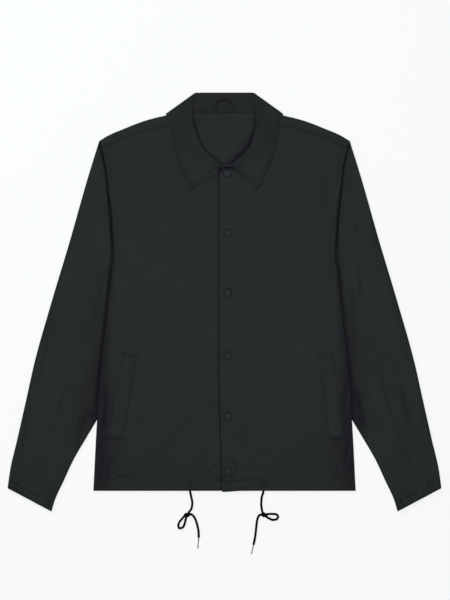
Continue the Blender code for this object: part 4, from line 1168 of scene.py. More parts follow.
# Shares of the way from the shoulder fold to the seam in front, closest together at the seam
WRAP_SHARES = 1.0 - graded(((0.12, 0.03), (1.0, 0.1)))[-2::-1]


def back_rows():
    """Shares of the back's length for its rows, close together at the hem and at the neck."""
    low = hem_rows()
    coarse_end = BACK_LENGTH - BACK_FINE_LENGTH
    stretches = ((coarse_end, ROW_STEP * 1.25), (BACK_LENGTH - 5.0, 2.0), (BACK_LENGTH, 0.9))
    return np.concatenate([low, graded(stretches, low[-1])[1:]]) / BACK_LENGTH


def back_column(top_x, seam_x, corner, rows, in_neck):
    """Outer and inner points of a column of the back.

    It runs from the hem to the neck seam or the shoulder fold at top_x, and there it turns over the
    shoulder and on to the seam in front at seam_x. corner is the half width at the shoulder's tip.
    """
    fold_y = shoulder_fold(top_x)
    bottom, top = back_bottom(top_x, fold_y), single_front(np.array(top_x), np.array(fold_y))
    radius, middle = (top - bottom) / 2.0, (top + bottom) / 2.0
    end_y = back_neck(top_x) if in_neck else fold_y - radius
    y = HEM_Y + (end_y - HEM_Y) * rows
    x = top_x / corner * (half_width(y) - SEAM_GAP / 2.0)
    outer, inner = curled(x, y, back_bottom(x, y), single_front(x, y))
    lift = np.minimum(BACK_UNEVENNESS * undulation(x, y) + BACK_LIFT[0], BACK_LIFT[1])
    inner[:, 2] += lift * smooth(rows * 20.0)
    rounded(inner, outer, rows * BACK_LENGTH)
    outer, inner = list(outer), list(inner)
    for turn in FOLD_TURNS:
        for path, size in ((outer, radius), (inner, radius - WALL)):
            path.append((top_x, fold_y - radius + size * math.sin(turn), middle - size * math.cos(turn)))
    seam_y = shoulder_seam(seam_x) + SEAM_GAP / 2.0
    for share in WRAP_SHARES:
        x = top_x + (seam_x - top_x) * share
        y = fold_y - radius + (seam_y - fold_y + radius) * share
        face = single_front(np.array(x), np.array(y))
        outer.append((x, y, face))
        inner.append((x, y, face - WALL))
    return outer, inner


def add_back(finish):
    """The back panel, which wraps over the shoulders to the seam in front of them."""
    corner = half_width(SHOULDER_FOLD[-1][1]) - SEAM_GAP / 2.0
    seam_x = shoulder_columns()
    neck_x = graded(((NECK_HALF, COLUMN_STEP),))
    seams = [*neck_x, *seam_x]
    tops = [*neck_x, *(seam_x * corner / seam_x[-1])]
    first_wrapped = len(neck_x) - 1
    rows = back_rows()
    halves = zip(*(
        back_column(top, seam, corner, rows, column < first_wrapped)
        for column, (seam, top) in enumerate(zip(seams, tops))
    ))
    grids = []
    for half in halves:
        half = np.array(half, float)
        mirrored = half[:0:-1] * (-1.0, 1.0, 1.0)
        grids.append(np.concatenate([mirrored, half]).transpose(1, 0, 2))
    centre = len(seams) - 1
    missing = np.zeros((len(grids[0]) - 1, len(grids[0][0]) - 1), bool)
    missing[len(rows) - 1:, centre - first_wrapped:centre + first_wrapped] = True
    x, y = grids[0][..., 0], grids[0][..., 1]
    wrapped = np.arange(len(x))[:, None] > len(rows) + len(FOLD_TURNS)
    # painted shade on both faces: towards the sides, along the shoulder seams, and inside the neck along its
    # seam and beside the roll
    outside = body_shade(x, y) + seam_shade(x, y) * wrapped
    inside = np.where(wrapped, outside, body_shade(x, y) + neck_shade(x, y))
    shade = np.clip([outside, inside], 0.0, 1.0)
    made = add_wall("back_cloth", grids[0], grids[1], finish, "nylon", missing=missing, shade=shade)
    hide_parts("back")


Sleeve = collections.namedtuple("Sleeve", "word side creases brow")
SLEEVES = (
    Sleeve("left", 1, LEFT_SLEEVE_CREASES, through(LEFT_BROW_WIDTH)),
    Sleeve("right", -1, RIGHT_SLEEVE_CREASES, through(RIGHT_BROW_WIDTH)),
)


def sleeve_section(share):
    """Inner and outer end of a sleeve's section: armhole at 0, turning square to the wrist at 1."""
    outer_y = ARM_TOP_Y + (WRIST_OUTER_Y - ARM_TOP_Y) * share
    turn = max(0.0, 1.0 - share / SECTION_TURN) ** 1.6
    inner_y = outer_y - WRIST_SLANT - (ARM_TOP_Y - UNDERARM_Y - WRIST_SLANT) * turn
    return np.array([sleeve_inner(inner_y), inner_y]), np.array([sleeve_outer(outer_y), outer_y])


def cuff_gathers(across, up, seed):
    """Gathers that run up from the elastic; across is measured along the wrist and up from its stitching."""
    shortest, longest = CUFF_GATHER_REACH
    leaning = across + CUFF_GATHER_LEAN * up
    phase = 2.0 * np.pi * leaning / CUFF_GATHER_PITCH + 1.7 * np.sin(across / 11.0 + seed) + seed
    length = shortest + (longest - shortest) * (0.5 + 0.5 * np.sin(across / 7.3 + 2.0 * seed)) ** 1.5
    strength = 0.55 + 0.45 * np.sin(across / 14.0 + 4.0 * seed)
    fading = np.where(up > 0.0, bell(up, length), 1.0)
    fine = 0.3 * np.cos(1.9 * phase + 0.7) * bell(up, 9.0)
    return CUFF_GATHER_HEIGHT * strength * (np.cos(phase) * fading + fine)


def sleeve_ring(share, places, sleeve, swell):
    """Outer and inner points round a sleeve's section, with their shade.

    places are the shares across its width.
    """
    start, end = sleeve_section(share)
    width = np.linalg.norm(end - start)
    q = np.array(places)
    armhole_y = UNDERARM_Y + (ARM_TOP_Y - UNDERARM_Y) * q
    first, last = sleeve_section(0.0)
    tucked_in = UNDERARM_TUCK * (1.0 - smooth(q / 0.1))
    bow = half_width(armhole_y) + ARMHOLE_GAP - tucked_in - (first[0] + (last[0] - first[0]) * q)
    up = (1.0 - share) * SLEEVE_LENGTH - CUFF
    rings = []
    for inset in (0.0, WALL):
        reach = inset + (width - 2.0 * inset) * q
        plan = start + (end - start) * (reach / width)[:, None]
        plan[:, 0] += bow * (1.0 - smooth(share / BOW_REACH))
        x, y = plan[:, 0], plan[:, 1]
        crown = sleeve_top(x, y, sleeve) + swell - 0.5 * STITCH_DIP * bell(up, DIP_REACH)
        gathers = cuff_gathers(q * width, up, CUFF_SEED[sleeve.word])
        crown = crown + gathers * smooth(q * 8.0) * smooth((1.0 - q) * 8.0)
        edges = np.where(q < 0.5, crown[0], crown[-1]) / 2.0
        depth = np.minimum(q, 1.0 - q) * width
        turn = arc(depth / (SLEEVE_ROUND * edges))
        upper = edges + (crown - inset - edges) * turn
        lower = edges - (edges - inset) * turn
        top = np.stack([x, y, upper], -1)
        under = np.stack([x, y, lower], -1)[::-1]
        rings.append(np.concatenate([top, under[1:-1]]))
    # painted shade of the sleeve beside the body and in its creases
    shade = sleeve_shade(x, y, sleeve)
    return *rings, np.concatenate([shade, shade[::-1][1:-1]])


def ring_places(width):
    """Shares across a section of that width, close together at its edges."""
    near = graded(((1.0, 0.33), (4.0, 0.8), (7.0, 1.5))) / width
    middle = np.linspace(near[-1], 1.0 - near[-1], 46)[1:-1]
    return np.concatenate([near, middle, 1.0 - near[::-1]])


def tucked(ring):
    """The first ring of a sleeve, moved in under the front and pressed between the body's layers."""
    return ring * (1.0, 1.0, TUCK_PRESS) + (-TUCK, 0.0, TUCK_HEIGHT)


def add_tube(name, node, sleeve, shares, swells, finish):
    """A length of sleeve or its cuff, as a wall round its sections."""
    outer, inner, shades = [], [], []
    for share, swell in zip(shares, swells):
        start, end = sleeve_section(share)
        places = ring_places(np.linalg.norm(end - start))
        ring_out, ring_in, shade = sleeve_ring(share, places, sleeve, swell)
        outer.append(ring_out)
        inner.append(ring_in)
        shades.append(shade)
    if shares[0] == 0.0:
        outer.insert(0, tucked(outer[0]))
        inner.insert(0, tucked(inner[0]))
        shades.insert(0, shades[0])
    flip = np.array([sleeve.side, 1.0, 1.0])
    grids = np.array(outer) * flip, np.array(inner) * flip
    made = add_wall(name, *grids, finish, "nylon", ring=True, shade=np.array(shades))
    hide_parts(node)
    return made


def add_sleeves(finish):
    """Both sleeves with their elastic cuffs."""
    cuff_start = 1.0 - CUFF / SLEEVE_LENGTH
    near_cuff = (CUFF + 60.0) / SLEEVE_LENGTH
    fine = 2.2 / SLEEVE_LENGTH
    shares = graded(((0.02, fine), (1.0 - near_cuff, 3.4 / SLEEVE_LENGTH), (cuff_start, fine)))
    cuff_shares = cuff_start + (1.0 - cuff_start) * graded(((0.04, 0.02), (0.9, 0.08), (1.0, 0.03)))
    swells = CUFF_SWELL * np.sin(np.pi * (cuff_shares - cuff_start) / (1.0 - cuff_start)) ** 0.6
    for sleeve in SLEEVES:
        word, still = sleeve.word, np.zeros(len(shares))
        arm = add_tube(f"sleeve_{word}_cloth", f"sleeve_{word}", sleeve, shares, still, finish)
        cuff = add_tube(f"cuff_{word}_cloth", f"cuff_{word}", sleeve, cuff_shares, swells, finish)


def along(points, share):
    """The point at a share of the way along straight runs between points."""
    reach = np.concatenate([[0.0], np.cumsum(np.linalg.norm(np.diff(points, axis=0), axis=1))])
    return np.array([np.interp(share * reach[-1], reach, column) for column in points.T])


def neck_run(side):
    """The stand's lower edge on one side of the front, from the fold at the neck to the collar's end."""
    inside = neck_edge(side, np.linspace(shoulder_end(), 0.0, 40), SEAM_GAP)
    below, above = inside[-1], inside[-2]
    run = [point for point in inside if abs(point[0] - below[0]) > COLLAR_END]
    share = COLLAR_END / abs(above[0] - below[0])
    last = below + (above - below) * share
    return np.concatenate([[(side * FOLD_FOOT[0], FOLD_FOOT[1])], run, [last]])


Line = collections.namedtuple("Line", "layer turn side start end inside")


def front_line(piece, side, inside, run):
    """A line over a front, at a distance inside the collar's end. run is the stand's lower edge."""
    flip = np.array([side, 1.0])
    share = 1.0 - inside / COLLAR_FRONT
    start = roll_line(share) * flip
    start[0] += neck_lean(start[1])
    end = fall_edge(share) * flip
    if piece == "stand":
        start = start + (end - start) / np.linalg.norm(end - start) * STAND_GAP
        end = along(run, share)
    return Line("front", 0.0, side, start, end, inside)


def back_line(piece, side, share, behind):
    """A line behind the neck, at a share of the way to the centre. behind is the neck seam there."""
    flip = np.array([side, 1.0])
    top = COLLAR_TOP
    fall_x = (FOLD_END[0] - 1.2) * (1.0 - share)
    end = np.array([fall_x, fall_back_edge(fall_x)])
    if piece == "stand":
        top = COLLAR_TOP - STAND_GAP
        end = along(behind, share)
    start = np.array([(FOLD_START[0] - 5.0) * (1.0 - share), top])
    return Line("back", math.pi, side, start * flip, end * flip, COLLAR_FRONT)


def collar_lines(piece):
    """Lines across the "fall" or the "stand", from the roll to its other edge.

    They run from one front end round the neck to the other: over the front, round the fold at the
    side of the neck by a turn from 0 to pi, and behind the neck. inside is the distance from the
    piece's front end.
    """
    fold_start, fold_end = np.array(FOLD_START), np.array(FOLD_END)
    direction = (fold_end - fold_start) / np.linalg.norm(fold_end - fold_start)
    if piece == "stand":
        fold_end = fold_start + direction * STAND_FOLD
        fold_start = fold_start + direction * STAND_GAP
    stitch, length = EDGE_STITCH, COLLAR_FRONT
    insides = graded(((RIM, 0.25), (stitch - 2.0, 1.2), (stitch + 2.0, 0.8), (length - 4.0, 3.0)))
    neck_x = graded(((NECK_HALF, 4.0),))[::-1]
    behind = np.array([(x, back_neck(x) + SEAM_GAP) for x in neck_x])
    behind[0, 0] = FOLD_FOOT[0]
    halves = []
    for side in (-1, 1):
        flip = np.array([side, 1.0])
        run = neck_run(side)
        lines = [front_line(piece, side, inside, run) for inside in insides]
        for turn in np.radians(np.linspace(0.0, 180.0, 15)):
            trim = CORNER_TRIM * max(0.0, -math.cos(turn)) ** 2
            start = (fold_start - direction * trim) * flip
            lines.append(Line("fold", turn, side, start, fold_end * flip, length))
        lines += [back_line(piece, side, share, behind) for share in graded(((1.0, 0.06),))[1:]]
        halves.append(lines)
    return halves[0] + halves[1][-2::-1]


def collar_points(line, distances, offsets):
    """Points at distances along a line, at offsets outward from the face between the two pieces."""
    distances, offsets = np.asarray(distances, float), np.asarray(offsets, float)
    direction = (line.end - line.start) / np.linalg.norm(line.end - line.start)
    x, y = (line.start[:, None] + direction[:, None] * distances)
    if line.layer == "front":
        return np.stack([x, y, front_top(x, y) + offsets], -1)
    if line.layer == "back":
        return np.stack([x, y, COLLAR_LIFT - offsets], -1)
    outward = np.array([-direction[1] * line.side, direction[0] * line.side])
    top = front_top(x - 2.0 * outward[0], y - 2.0 * outward[1])
    radius, middle = (top - COLLAR_LIFT) / 2.0, (top + COLLAR_LIFT) / 2.0
    reach = (radius + offsets) * math.sin(line.turn) - radius
    height = middle + (radius + offsets) * math.cos(line.turn)
    return np.stack([x + outward[0] * reach, y + outward[1] * reach, height], -1)


def add_fall(finish):
    """The turned-down collar. Its roll is a rounded lip that hooks over the stand's upper edge."""
    outside, inside = COLLAR_GAP + FALL_WALL, -STAND_WALL
    middle, radius = (outside + inside) / 2.0, (outside - inside) / 2.0
    lip = graded(((radius, radius / 8.0),))
    bulge = np.maximum(radius * arc(lip / radius), 0.2)
    hook = 2.0 * radius
    outer, inner = [], []
    for line in collar_lines("fall"):
        length = np.linalg.norm(line.end - line.start)
        stitch = length - EDGE_STITCH
        flat = np.concatenate([
            np.linspace(hook + 0.1, stitch - 2.0, 18),
            np.linspace(stitch - 2.0, stitch + 2.0, 6)[1:],
            np.linspace(stitch + 2.0, length - RIM, 3)[1:],
            np.linspace(length - RIM, length, 3)[1:],
        ])
        share = (flat - hook) / (length - hook)
        facing = (1.0 + math.cos(line.turn)) / 2.0
        clear = FALL_CLEARANCE * np.clip(share, 0.0, 1.0) * facing
        wave = np.sin(flat / 14.0 + line.inside / 23.0) * np.sin(line.inside / 31.0 + 0.5)
        clear = clear + np.maximum(FALL_WAVE * wave, -0.1) * facing * np.clip(share, 0.0, 1.0)
        dip = np.maximum(bell(flat - stitch, DIP_REACH), bell(line.inside - EDGE_STITCH, DIP_REACH))
        pinch = RIM_PINCH * (1.0 - arc(np.minimum(length - flat, line.inside) / RIM))
        distances = np.concatenate([lip, [hook], flat])
        over = np.concatenate([middle + bulge, [outside], outside + clear - STITCH_DIP * dip - pinch])
        under = np.concatenate([middle - bulge, [inside], COLLAR_GAP + clear + pinch])
        outer.append(collar_points(line, distances, over))
        inner.append(collar_points(line, distances, under))
    outer, inner = np.array(outer), np.array(inner)
    # painted shade on the fall beside its roll and near its front ends
    shade = np.clip(fold_height(COLLAR_SHADES, outer[..., 0], outer[..., 1]), 0.0, 1.0)
    made = add_wall("collar_fall_cloth", outer, inner, finish, "collar_nylon", shade=shade)
    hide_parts("collar_fall")


def add_stand(finish):
    """The collar's upright band, pressed flat inside the fall. Its upper front end laps the other."""
    lines = collar_lines("stand")
    for place in graded(((STAND_LAP[1], STAND_LAP_STEP),), STAND_LAP[0]):
        end = neck_edge(1, math.asin(-place / NECK_HALF), SEAM_GAP)
        lines.append(Line("front", 0.0, 1, np.array([end[0], ROLL[-1][1]]), end, 0.0))
    shares = graded(((0.1, 0.05), (0.88, 0.09), (1.0, 0.02)))
    outer, inner, edges = [], [], []
    for line in lines:
        length = np.linalg.norm(line.end - line.start)
        places = shares * length
        sag = STAND_SAG * (np.sin(places / 9.0 + line.start[0] / 11.0) - 1.0)
        outer.append(collar_points(line, places, np.zeros(len(places))))
        inner.append(collar_points(line, places, sag - STAND_WALL))
        edges.append(bell(length - places, SEAM_REACH) + bell(places, SEAM_REACH) * (line.layer == "front"))
    outer, inner = np.array(outer), np.array(inner)
    # painted shade: the whole stand a little darker, darker along its seams, and the collar's shadow round
    # the top snap where the stand lies above the fronts
    dark = fold_height(TOP_SNAP_SHADES, outer[..., 0], outer[..., 1]) * (outer[..., 2] > LOFT)
    shade = np.clip(STAND_SHADE + SEAM_SHADE * np.array(edges) + dark, 0.0, 1.0)
    made = add_wall("collar_stand_cloth", outer, inner, finish, "collar_nylon", shade=shade)
    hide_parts("collar_stand")


def add_welt(word, side, finish):
    """A slanted pocket welt, laid on its front from the front's own points."""
    top, bottom = np.array(WELTS[word]).reshape(2, 2, 2)
    width = np.linalg.norm(top[1] - top[0])
    length = np.linalg.norm(bottom[0] - top[0])
    reach = graded(((RIM, 0.25), (3.0, 0.8), (width - 3.0, 1.5), (width - RIM, 0.8), (width, 0.25)))
    down = graded(((RIM, 0.25), (9.0, 0.8), (length - 9.0, 2.5), (length - RIM, 0.8), (length, 0.25)))
    across = (reach / width)[None, :, None]
    share = (down / length)[:, None, None]
    upper = top[0] + (top[1] - top[0]) * across
    lower = bottom[0] + (bottom[1] - bottom[0]) * across
    plan = upper + (lower - upper) * share
    x, y = plan[..., 0] * side, plan[..., 1]
    base = front_face(x, y, side) + LAYER_GAP
    from_end = np.minimum(down, length - down)[:, None]
    from_side = np.minimum(reach, width - reach)[None, :]
    bars = sum(bell(down - place % length, BAR_REACH) for place in WELT_BARS)
    pillow = WELT_PILLOW * smooth(from_side / 6.0) - BAR_DIP * np.minimum(bars, 1.0)[:, None]
    outer = np.stack([x, y, base + WELT_WALL + pillow], -1)
    inner = np.stack([x, y, base], -1)
    rounded(outer, inner, np.minimum(from_end, from_side))
    made = add_wall(f"pocket_welt_{word}_cloth", outer, inner, finish, "nylon")
    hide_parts(f"pocket_welt_{word}")


def turned(profile, sides, place):
    """Points and faces turned about Z from a profile of radius and height."""
    turns = ring_turns(sides)
    rings = []
    for radius, height in profile:
        x = place[0] + radius * np.cos(turns)
        y = place[1] + radius * np.sin(turns)
        rings.append(np.stack([x, y, np.full(sides, place[2] + height)], -1))
    return np.concatenate(rings), tube_faces(len(profile), sides)


def add_snap(number, x, y, finish):
    """A snap's cap: a rolled rim round a shallow dish with a low dome in it."""
    radius, roll = SNAP_RADIUS, SNAP_RIM
    rim = [(radius - roll + roll * math.cos(turn), roll + 0.1 + roll * math.sin(turn))
           for turn in np.linspace(-1.2, 2.3, 14)]
    dish = [(radius - 1.75, 1.22), (radius - 2.1, 1.18), (radius - 2.5, 1.3)]
    dome = [(share * (radius - 2.6), 1.3 + SNAP_DOME * (1.0 - share**2))
            for share in np.linspace(0.97, 0.04, 12)]
    base = float(over_front(np.array(x), np.array(y))) + LAYER_GAP
    points, faces = turned([*rim, *dish, *dome], SNAP_SIDES, (x, y, base))
    made = add_object(f"snap_{number}_cap", points, faces, finish, sharp=70.0)
    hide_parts(f"snap_{number}")


def add_loop(finish):
    """The hanger tape, lying on the stand inside the back of the neck."""
    share = np.linspace(0.0, 1.0, 60)
    centre = loop_path(share)
    step = np.gradient(centre, axis=0)
    normal = np.stack([-step[:, 1], step[:, 0]], -1) / np.linalg.norm(step, axis=1)[:, None]
    lift = TAPE_LIFT * np.sin(np.pi * share) ** 0.7
    base = COLLAR_LIFT + STAND_WALL + LAYER_GAP + lift
    edge = TAPE_ROUND
    places = graded(((edge, edge), (TAPE_WIDTH - edge, 0.55), (TAPE_WIDTH, edge)))
    rim = 0.25 * (1.0 - arc(np.minimum(places, TAPE_WIDTH - places) / (2.0 * edge)))
    grids = []
    for height, sign in ((TAPE_WALL, -1.0), (0.0, 1.0)):
        columns = []
        for place, pinch in zip(places, rim):
            plan = centre + normal * (place - TAPE_WIDTH / 2.0)
            columns.append(np.column_stack([plan, base + height + sign * pinch]))
        grids.append(np.stack(columns, 1))
    # painted shade: darker along the middle of the tape's arch and at its rounded edges
    shade = TAPE_SHADE * np.sin(np.pi * share)[:, None] + TAPE_EDGE_SHADE * rim / rim.max()
    made = add_wall("hanger_loop_tape", grids[0], grids[1], finish, "tape", shade=np.clip(shade, 0.0, 1.0))
    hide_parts("hanger_loop")


def crossed(turns, twist):
    """Relief of eight strands that cross as they go round a braid both ways."""
    return np.sin(4.0 * turns + twist) * np.sin(4.0 * turns - twist)


def add_cord(side, cord, metal):
    """One free end of the drawcord: a braided cord with a slip knot and a crimped metal tip."""
    stretches = CORDS[side]
    knot_place = KNOT_PLACES[side]
    start = np.array(stretches["lead"][0]) + (0.0, CORD_START, 0.0)
    points = [start, *stretches["lead"], knot_place, *stretches["loop"], knot_place, *stretches["tail"]]
    follow = route(points)
    length = np.linalg.norm(np.diff(follow(np.linspace(0.0, 1.0, 800)), axis=0), axis=1).sum()
    path = follow(np.linspace(0.0, 1.0, round(length / CORD_STEP)))
    path[:, 2] = np.maximum(path[:, 2], BRAID_RADIUS)
    turns = ring_turns(CORD_SIDES)
    run = np.linspace(0.0, length, len(path))[:, None]
    twist = 2.0 * np.pi * run / BRAID_LAY
    radii = CORD / 2.0 * (BRAID_SWELL + BRAID_RELIEF * crossed(turns, 4.0 * twist))
    points, faces = tube(path, radii, CORD_SIDES)
    braid = add_object(f"cord_{side}", points, faces, cord, sharp=80.0)
    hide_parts(*(f"cord_{side}_{stretch}" for stretch in ("lead", "loop", "tail")))
    knot = add_knot(side, knot_place, cord)
    tip = add_tip(side, stretches["tip"], metal)


def add_knot(side, place, finish):
    """The slip knot, drawn up tight: a three-crossing knot of the same cord."""
    turn = np.linspace(0.0, 2.0 * np.pi, 160, endpoint=False)
    x = np.sin(turn) + 2.0 * np.sin(2.0 * turn)
    y = np.cos(turn) - 2.0 * np.cos(2.0 * turn)
    z = -np.sin(3.0 * turn)
    half = (np.array(KNOT) / 2.0 - KNOT_CORD_RADIUS) / (2.7, 3.0, 1.0)
    lean = KNOT_LEAN[side]
    x, y = x * half[0], y * half[1]
    plan_x = x * math.cos(lean) - y * math.sin(lean)
    plan_y = x * math.sin(lean) + y * math.cos(lean)
    path = np.stack([place[0] + plan_x, place[1] + plan_y, place[2] + z * half[2]], -1)
    closed = np.concatenate([path, path[:2]])
    turns = ring_turns(KNOT_SIDES)
    run = np.arange(len(closed))[:, None] * 0.35
    radii = KNOT_CORD_RADIUS * (0.97 + BRAID_RELIEF * crossed(turns, run))
    points, faces = tube(closed, radii, KNOT_SIDES)
    made = add_object(f"cord_{side}_knot_wraps", points, faces, finish, sharp=80.0)
    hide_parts(f"cord_{side}_knot")
    return made


def add_tip(side, ends, finish):
    """A metal tip: a rolled sleeve with a crimp and a rounded end."""
    start, end = (np.array(point) for point in ends)
    profile = (  # share of the length, radius
        (-0.03, TIP_RADIUS + 0.05),
        (0.0, TIP_RADIUS + 0.18),
        (0.03, TIP_RADIUS + 0.18),
        (0.06, TIP_RADIUS),
        (0.14, TIP_RADIUS),
        (0.16, TIP_RADIUS - 0.22),
        (0.19, TIP_RADIUS - 0.22),
        (0.21, TIP_RADIUS),
        (0.90, TIP_RADIUS - 0.1),
        (0.95, TIP_RADIUS - 0.3),
        (0.985, TIP_RADIUS - 0.75),
        (1.0, 0.3),
    )
    shares, radii = np.array(profile).T
    path = start + (end - start) * shares[:, None]
    points, faces = tube(path, radii, TIP_SIDES)
    made = add_object(f"cord_{side}_tip_metal", points, faces, finish, sharp=60.0)
    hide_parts(f"cord_{side}_tip")
    return made


def stitch_points(path):
    """Points of a row of stitches along a path of points, each a slim spindle lying on the cloth."""
    steps = np.linalg.norm(np.diff(path, axis=0), axis=1)
    reach = np.concatenate([[0.0], np.cumsum(steps)])
    count = int(reach[-1] // STITCH_PITCH)
    middles = (np.arange(count) + 0.5) * reach[-1] / count
    ends = [np.stack([np.interp(middles + way * STITCH / 2.0, reach, column) for column in path.T], -1)
            for way in (-1.0, 1.0)]
    ahead = ends[1] - ends[0]
    ahead /= np.linalg.norm(ahead, axis=1)[:, None]
    across = np.cross(ahead, (0.0, 0.0, 1.0))
    across /= np.linalg.norm(across, axis=1)[:, None]
    up = np.cross(across, ahead)
    rings = []
    for share, size, sink in ((0.0, 0.3, 0.16), (0.2, 1.0, 0.0), (0.8, 1.0, 0.0), (1.0, 0.3, 0.16)):
        centre = ends[0] + (ends[1] - ends[0]) * share - up * sink
        corners = [centre + (across * math.cos(t) + up * math.sin(t)) * THREAD * size
                   for t in np.radians((0.0, 90.0, 180.0, 270.0))]
        rings.append(np.stack(corners, 1))
    return np.stack(rings, 1)


def add_stitching(name, paths, finish):
    """Rows of stitches along several paths, as one mesh."""
    stitches = np.concatenate([stitch_points(np.asarray(path)) for path in paths if len(path) > 1])
    rings, sides = stitches.shape[1:3]
    base = np.array(tube_faces(rings, sides))
    faces = (base[None] + rings * sides * np.arange(len(stitches))[:, None, None]).reshape(-1, 4)
    add_object(name, stitches.reshape(-1, 3), faces.tolist(), finish)


def on_fronts(x, y, side):
    """Points on a front's outer face, the thread's radius above it."""
    top = front_face(x, y, side)
    return np.stack([x, y, top + casing_swell(y - HEM_Y) + THREAD * 0.4], -1)


def front_stitching(finish):
    """Topstitching of the hem, the armholes and the shoulder seams."""
    paths = []
    hem_stitch = HEM_Y + HEM_CASING
    corner = half_width(hem_stitch) - 2.0
    for side, start in ((1, OVER_EDGE + EDGE_DRIFT + 2.0), (-1, -OVER_EDGE + 1.0)):
        x = side * np.arange(start, corner, 1.0)
        y = np.full(len(x), hem_stitch)
        row = on_fronts(x, y, side)
        if side > 0:
            row[:, 0], row[:, 1] = lapped(x, y, OVER_EDGE)
        paths.append(row)
        y = np.arange(UNDERARM_Y + 4.0, SEAM_TIP_Y - 3.0, 1.0)
        paths.append(on_fronts(side * (half_width(y) - ARMHOLE_STITCH), y, side))
        across = np.arange(NECK_HALF + 24.0, half_width(SEAM_TIP_Y) - 2.0, 1.0)
        seam = shoulder_seam(across) + SHOULDER_STITCH
        above = single_front(side * across, seam) + THREAD * 0.4
        paths.append(np.stack([side * across, seam, above], -1))
    add_stitching("stitching_body", paths, finish)


def collar_stitching(finish):
    """Topstitching a little inside the collar's free edges."""
    rise = COLLAR_GAP + FALL_WALL - STITCH_SINK
    lines = [line for line in collar_lines("fall") if line.layer == "front"]
    paths = []
    for side in (-1, 1):
        row = [line for line in lines if line.side == side and line.inside >= EDGE_STITCH]
        row.sort(key=lambda line: line.inside)
        edge = []
        for line in row:
            length = np.linalg.norm(line.end - line.start)
            edge.append(collar_points(line, [length - EDGE_STITCH], [rise + FALL_CLEARANCE])[0])
        paths.append(np.array(edge))
        line = min(row, key=lambda line: line.inside)
        length = np.linalg.norm(line.end - line.start)
        reach = np.arange(8.0, length - EDGE_STITCH, 1.0)
        paths.append(collar_points(line, reach, rise + FALL_CLEARANCE * reach / length))
    add_stitching("stitching_collar", paths, finish)


def welt_stitching(finish):
    """The bars sewn across the ends of the pocket welts."""
    paths = []
    for word, side in SIDES.items():
        top, bottom = np.array(WELTS[word]).reshape(2, 2, 2)
        length = np.linalg.norm(bottom[0] - top[0])
        for down in WELT_BARS:
            ends = top + (bottom - top) * (down % length) / length
            share = np.linspace(0.06, 0.94, 30)[:, None]
            plan = ends[0] + (ends[1] - ends[0]) * share
            x, y = plan[:, 0] * side, plan[:, 1]
            height = front_face(x, y, side) + LAYER_GAP + WELT_WALL + THREAD_CLEAR
            paths.append(np.stack([x, y, height], -1))
    add_stitching("stitching_welts", paths, finish)


def cuff_stitching(finish):
    """The row of stitches that holds the elastic at each wrist."""
    share = 1.0 - (CUFF + 0.2) / SLEEVE_LENGTH
    paths = []
    for sleeve in SLEEVES:
        places = np.linspace(0.02, 0.98, 120)
        ring, _, _ = sleeve_ring(share, places, sleeve, 0.0)
        top = ring[:len(places)] * (sleeve.side, 1.0, 1.0)
        top[:, 2] += THREAD * 0.3
        paths.append(top)
    add_stitching("stitching_cuffs", paths, finish)


def new_material(name, colour, roughness, metallic=0.0):
    """A plain material, with its node tree and its shader."""
    made = bpy.data.materials.new(name)
    made.use_nodes = True
    shader = made.node_tree.nodes["Principled BSDF"]
    shader.inputs["Base Color"].default_value = (*colour, 1.0)
    shader.inputs["Roughness"].default_value = roughness
    shader.inputs["Metallic"].default_value = metallic
    return made, made.node_tree, shader


def added(tree, kind, settings, **inputs):
    """A new node. Each input is a number or a colour, or another node's output to link."""
    node = tree.nodes.new(f"ShaderNode{kind}")
    for setting, value in settings.items():
        setattr(node, setting, value)
    for name, value in inputs.items():
        socket = node.inputs[int(name[-1]) if name.startswith("input_") else name.replace("_", " ")]
        if isinstance(value, bpy.types.NodeSocket):
            tree.links.new(value, socket)
        else:
            socket.default_value = value
    return node


def placed(tree):
    """The model's own coordinates."""
    return tree.nodes.new("ShaderNodeTexCoord").outputs["Object"]


def noise(tree, scale, detail, low=None, high=None):
    """A noise texture with scale in cells to the metre, its middle spread from low to high if given."""
    texture = added(tree, "TexNoise", {}, Vector=placed(tree), Scale=scale, Detail=detail)
    if low is None:
        return texture.outputs["Fac"]
    ends = {"From_Min": 0.3, "From_Max": 0.7, "To_Min": low, "To_Max": high}
    return added(tree, "MapRange", {}, Value=texture.outputs["Fac"], **ends).outputs["Result"]


def scaled(tree, colour, amount):
    """A colour that is made lighter or darker by an amount round 1."""
    return added(tree, "VectorMath", {"operation": "SCALE"}, input_0=colour, Scale=amount).outputs["Vector"]


def threads(tree, direction, pitch):
    """Parallel threads a pitch apart in millimetres, across X or Y."""
    settings = {"wave_type": "BANDS", "bands_direction": direction}
    scale = math.pi / (10.0 * pitch * MM)
    return added(tree, "TexWave", settings, Vector=placed(tree), Scale=scale).outputs["Fac"]


def bumped(tree, height, depth, strength, before=None):
    """A bump of a depth in millimetres, on top of the bump before it."""
    under = {} if before is None else {"Normal": before}
    bump = added(tree, "Bump", {}, Distance=depth * MM, Strength=strength, Height=height, **under)
    return bump.outputs["Normal"]


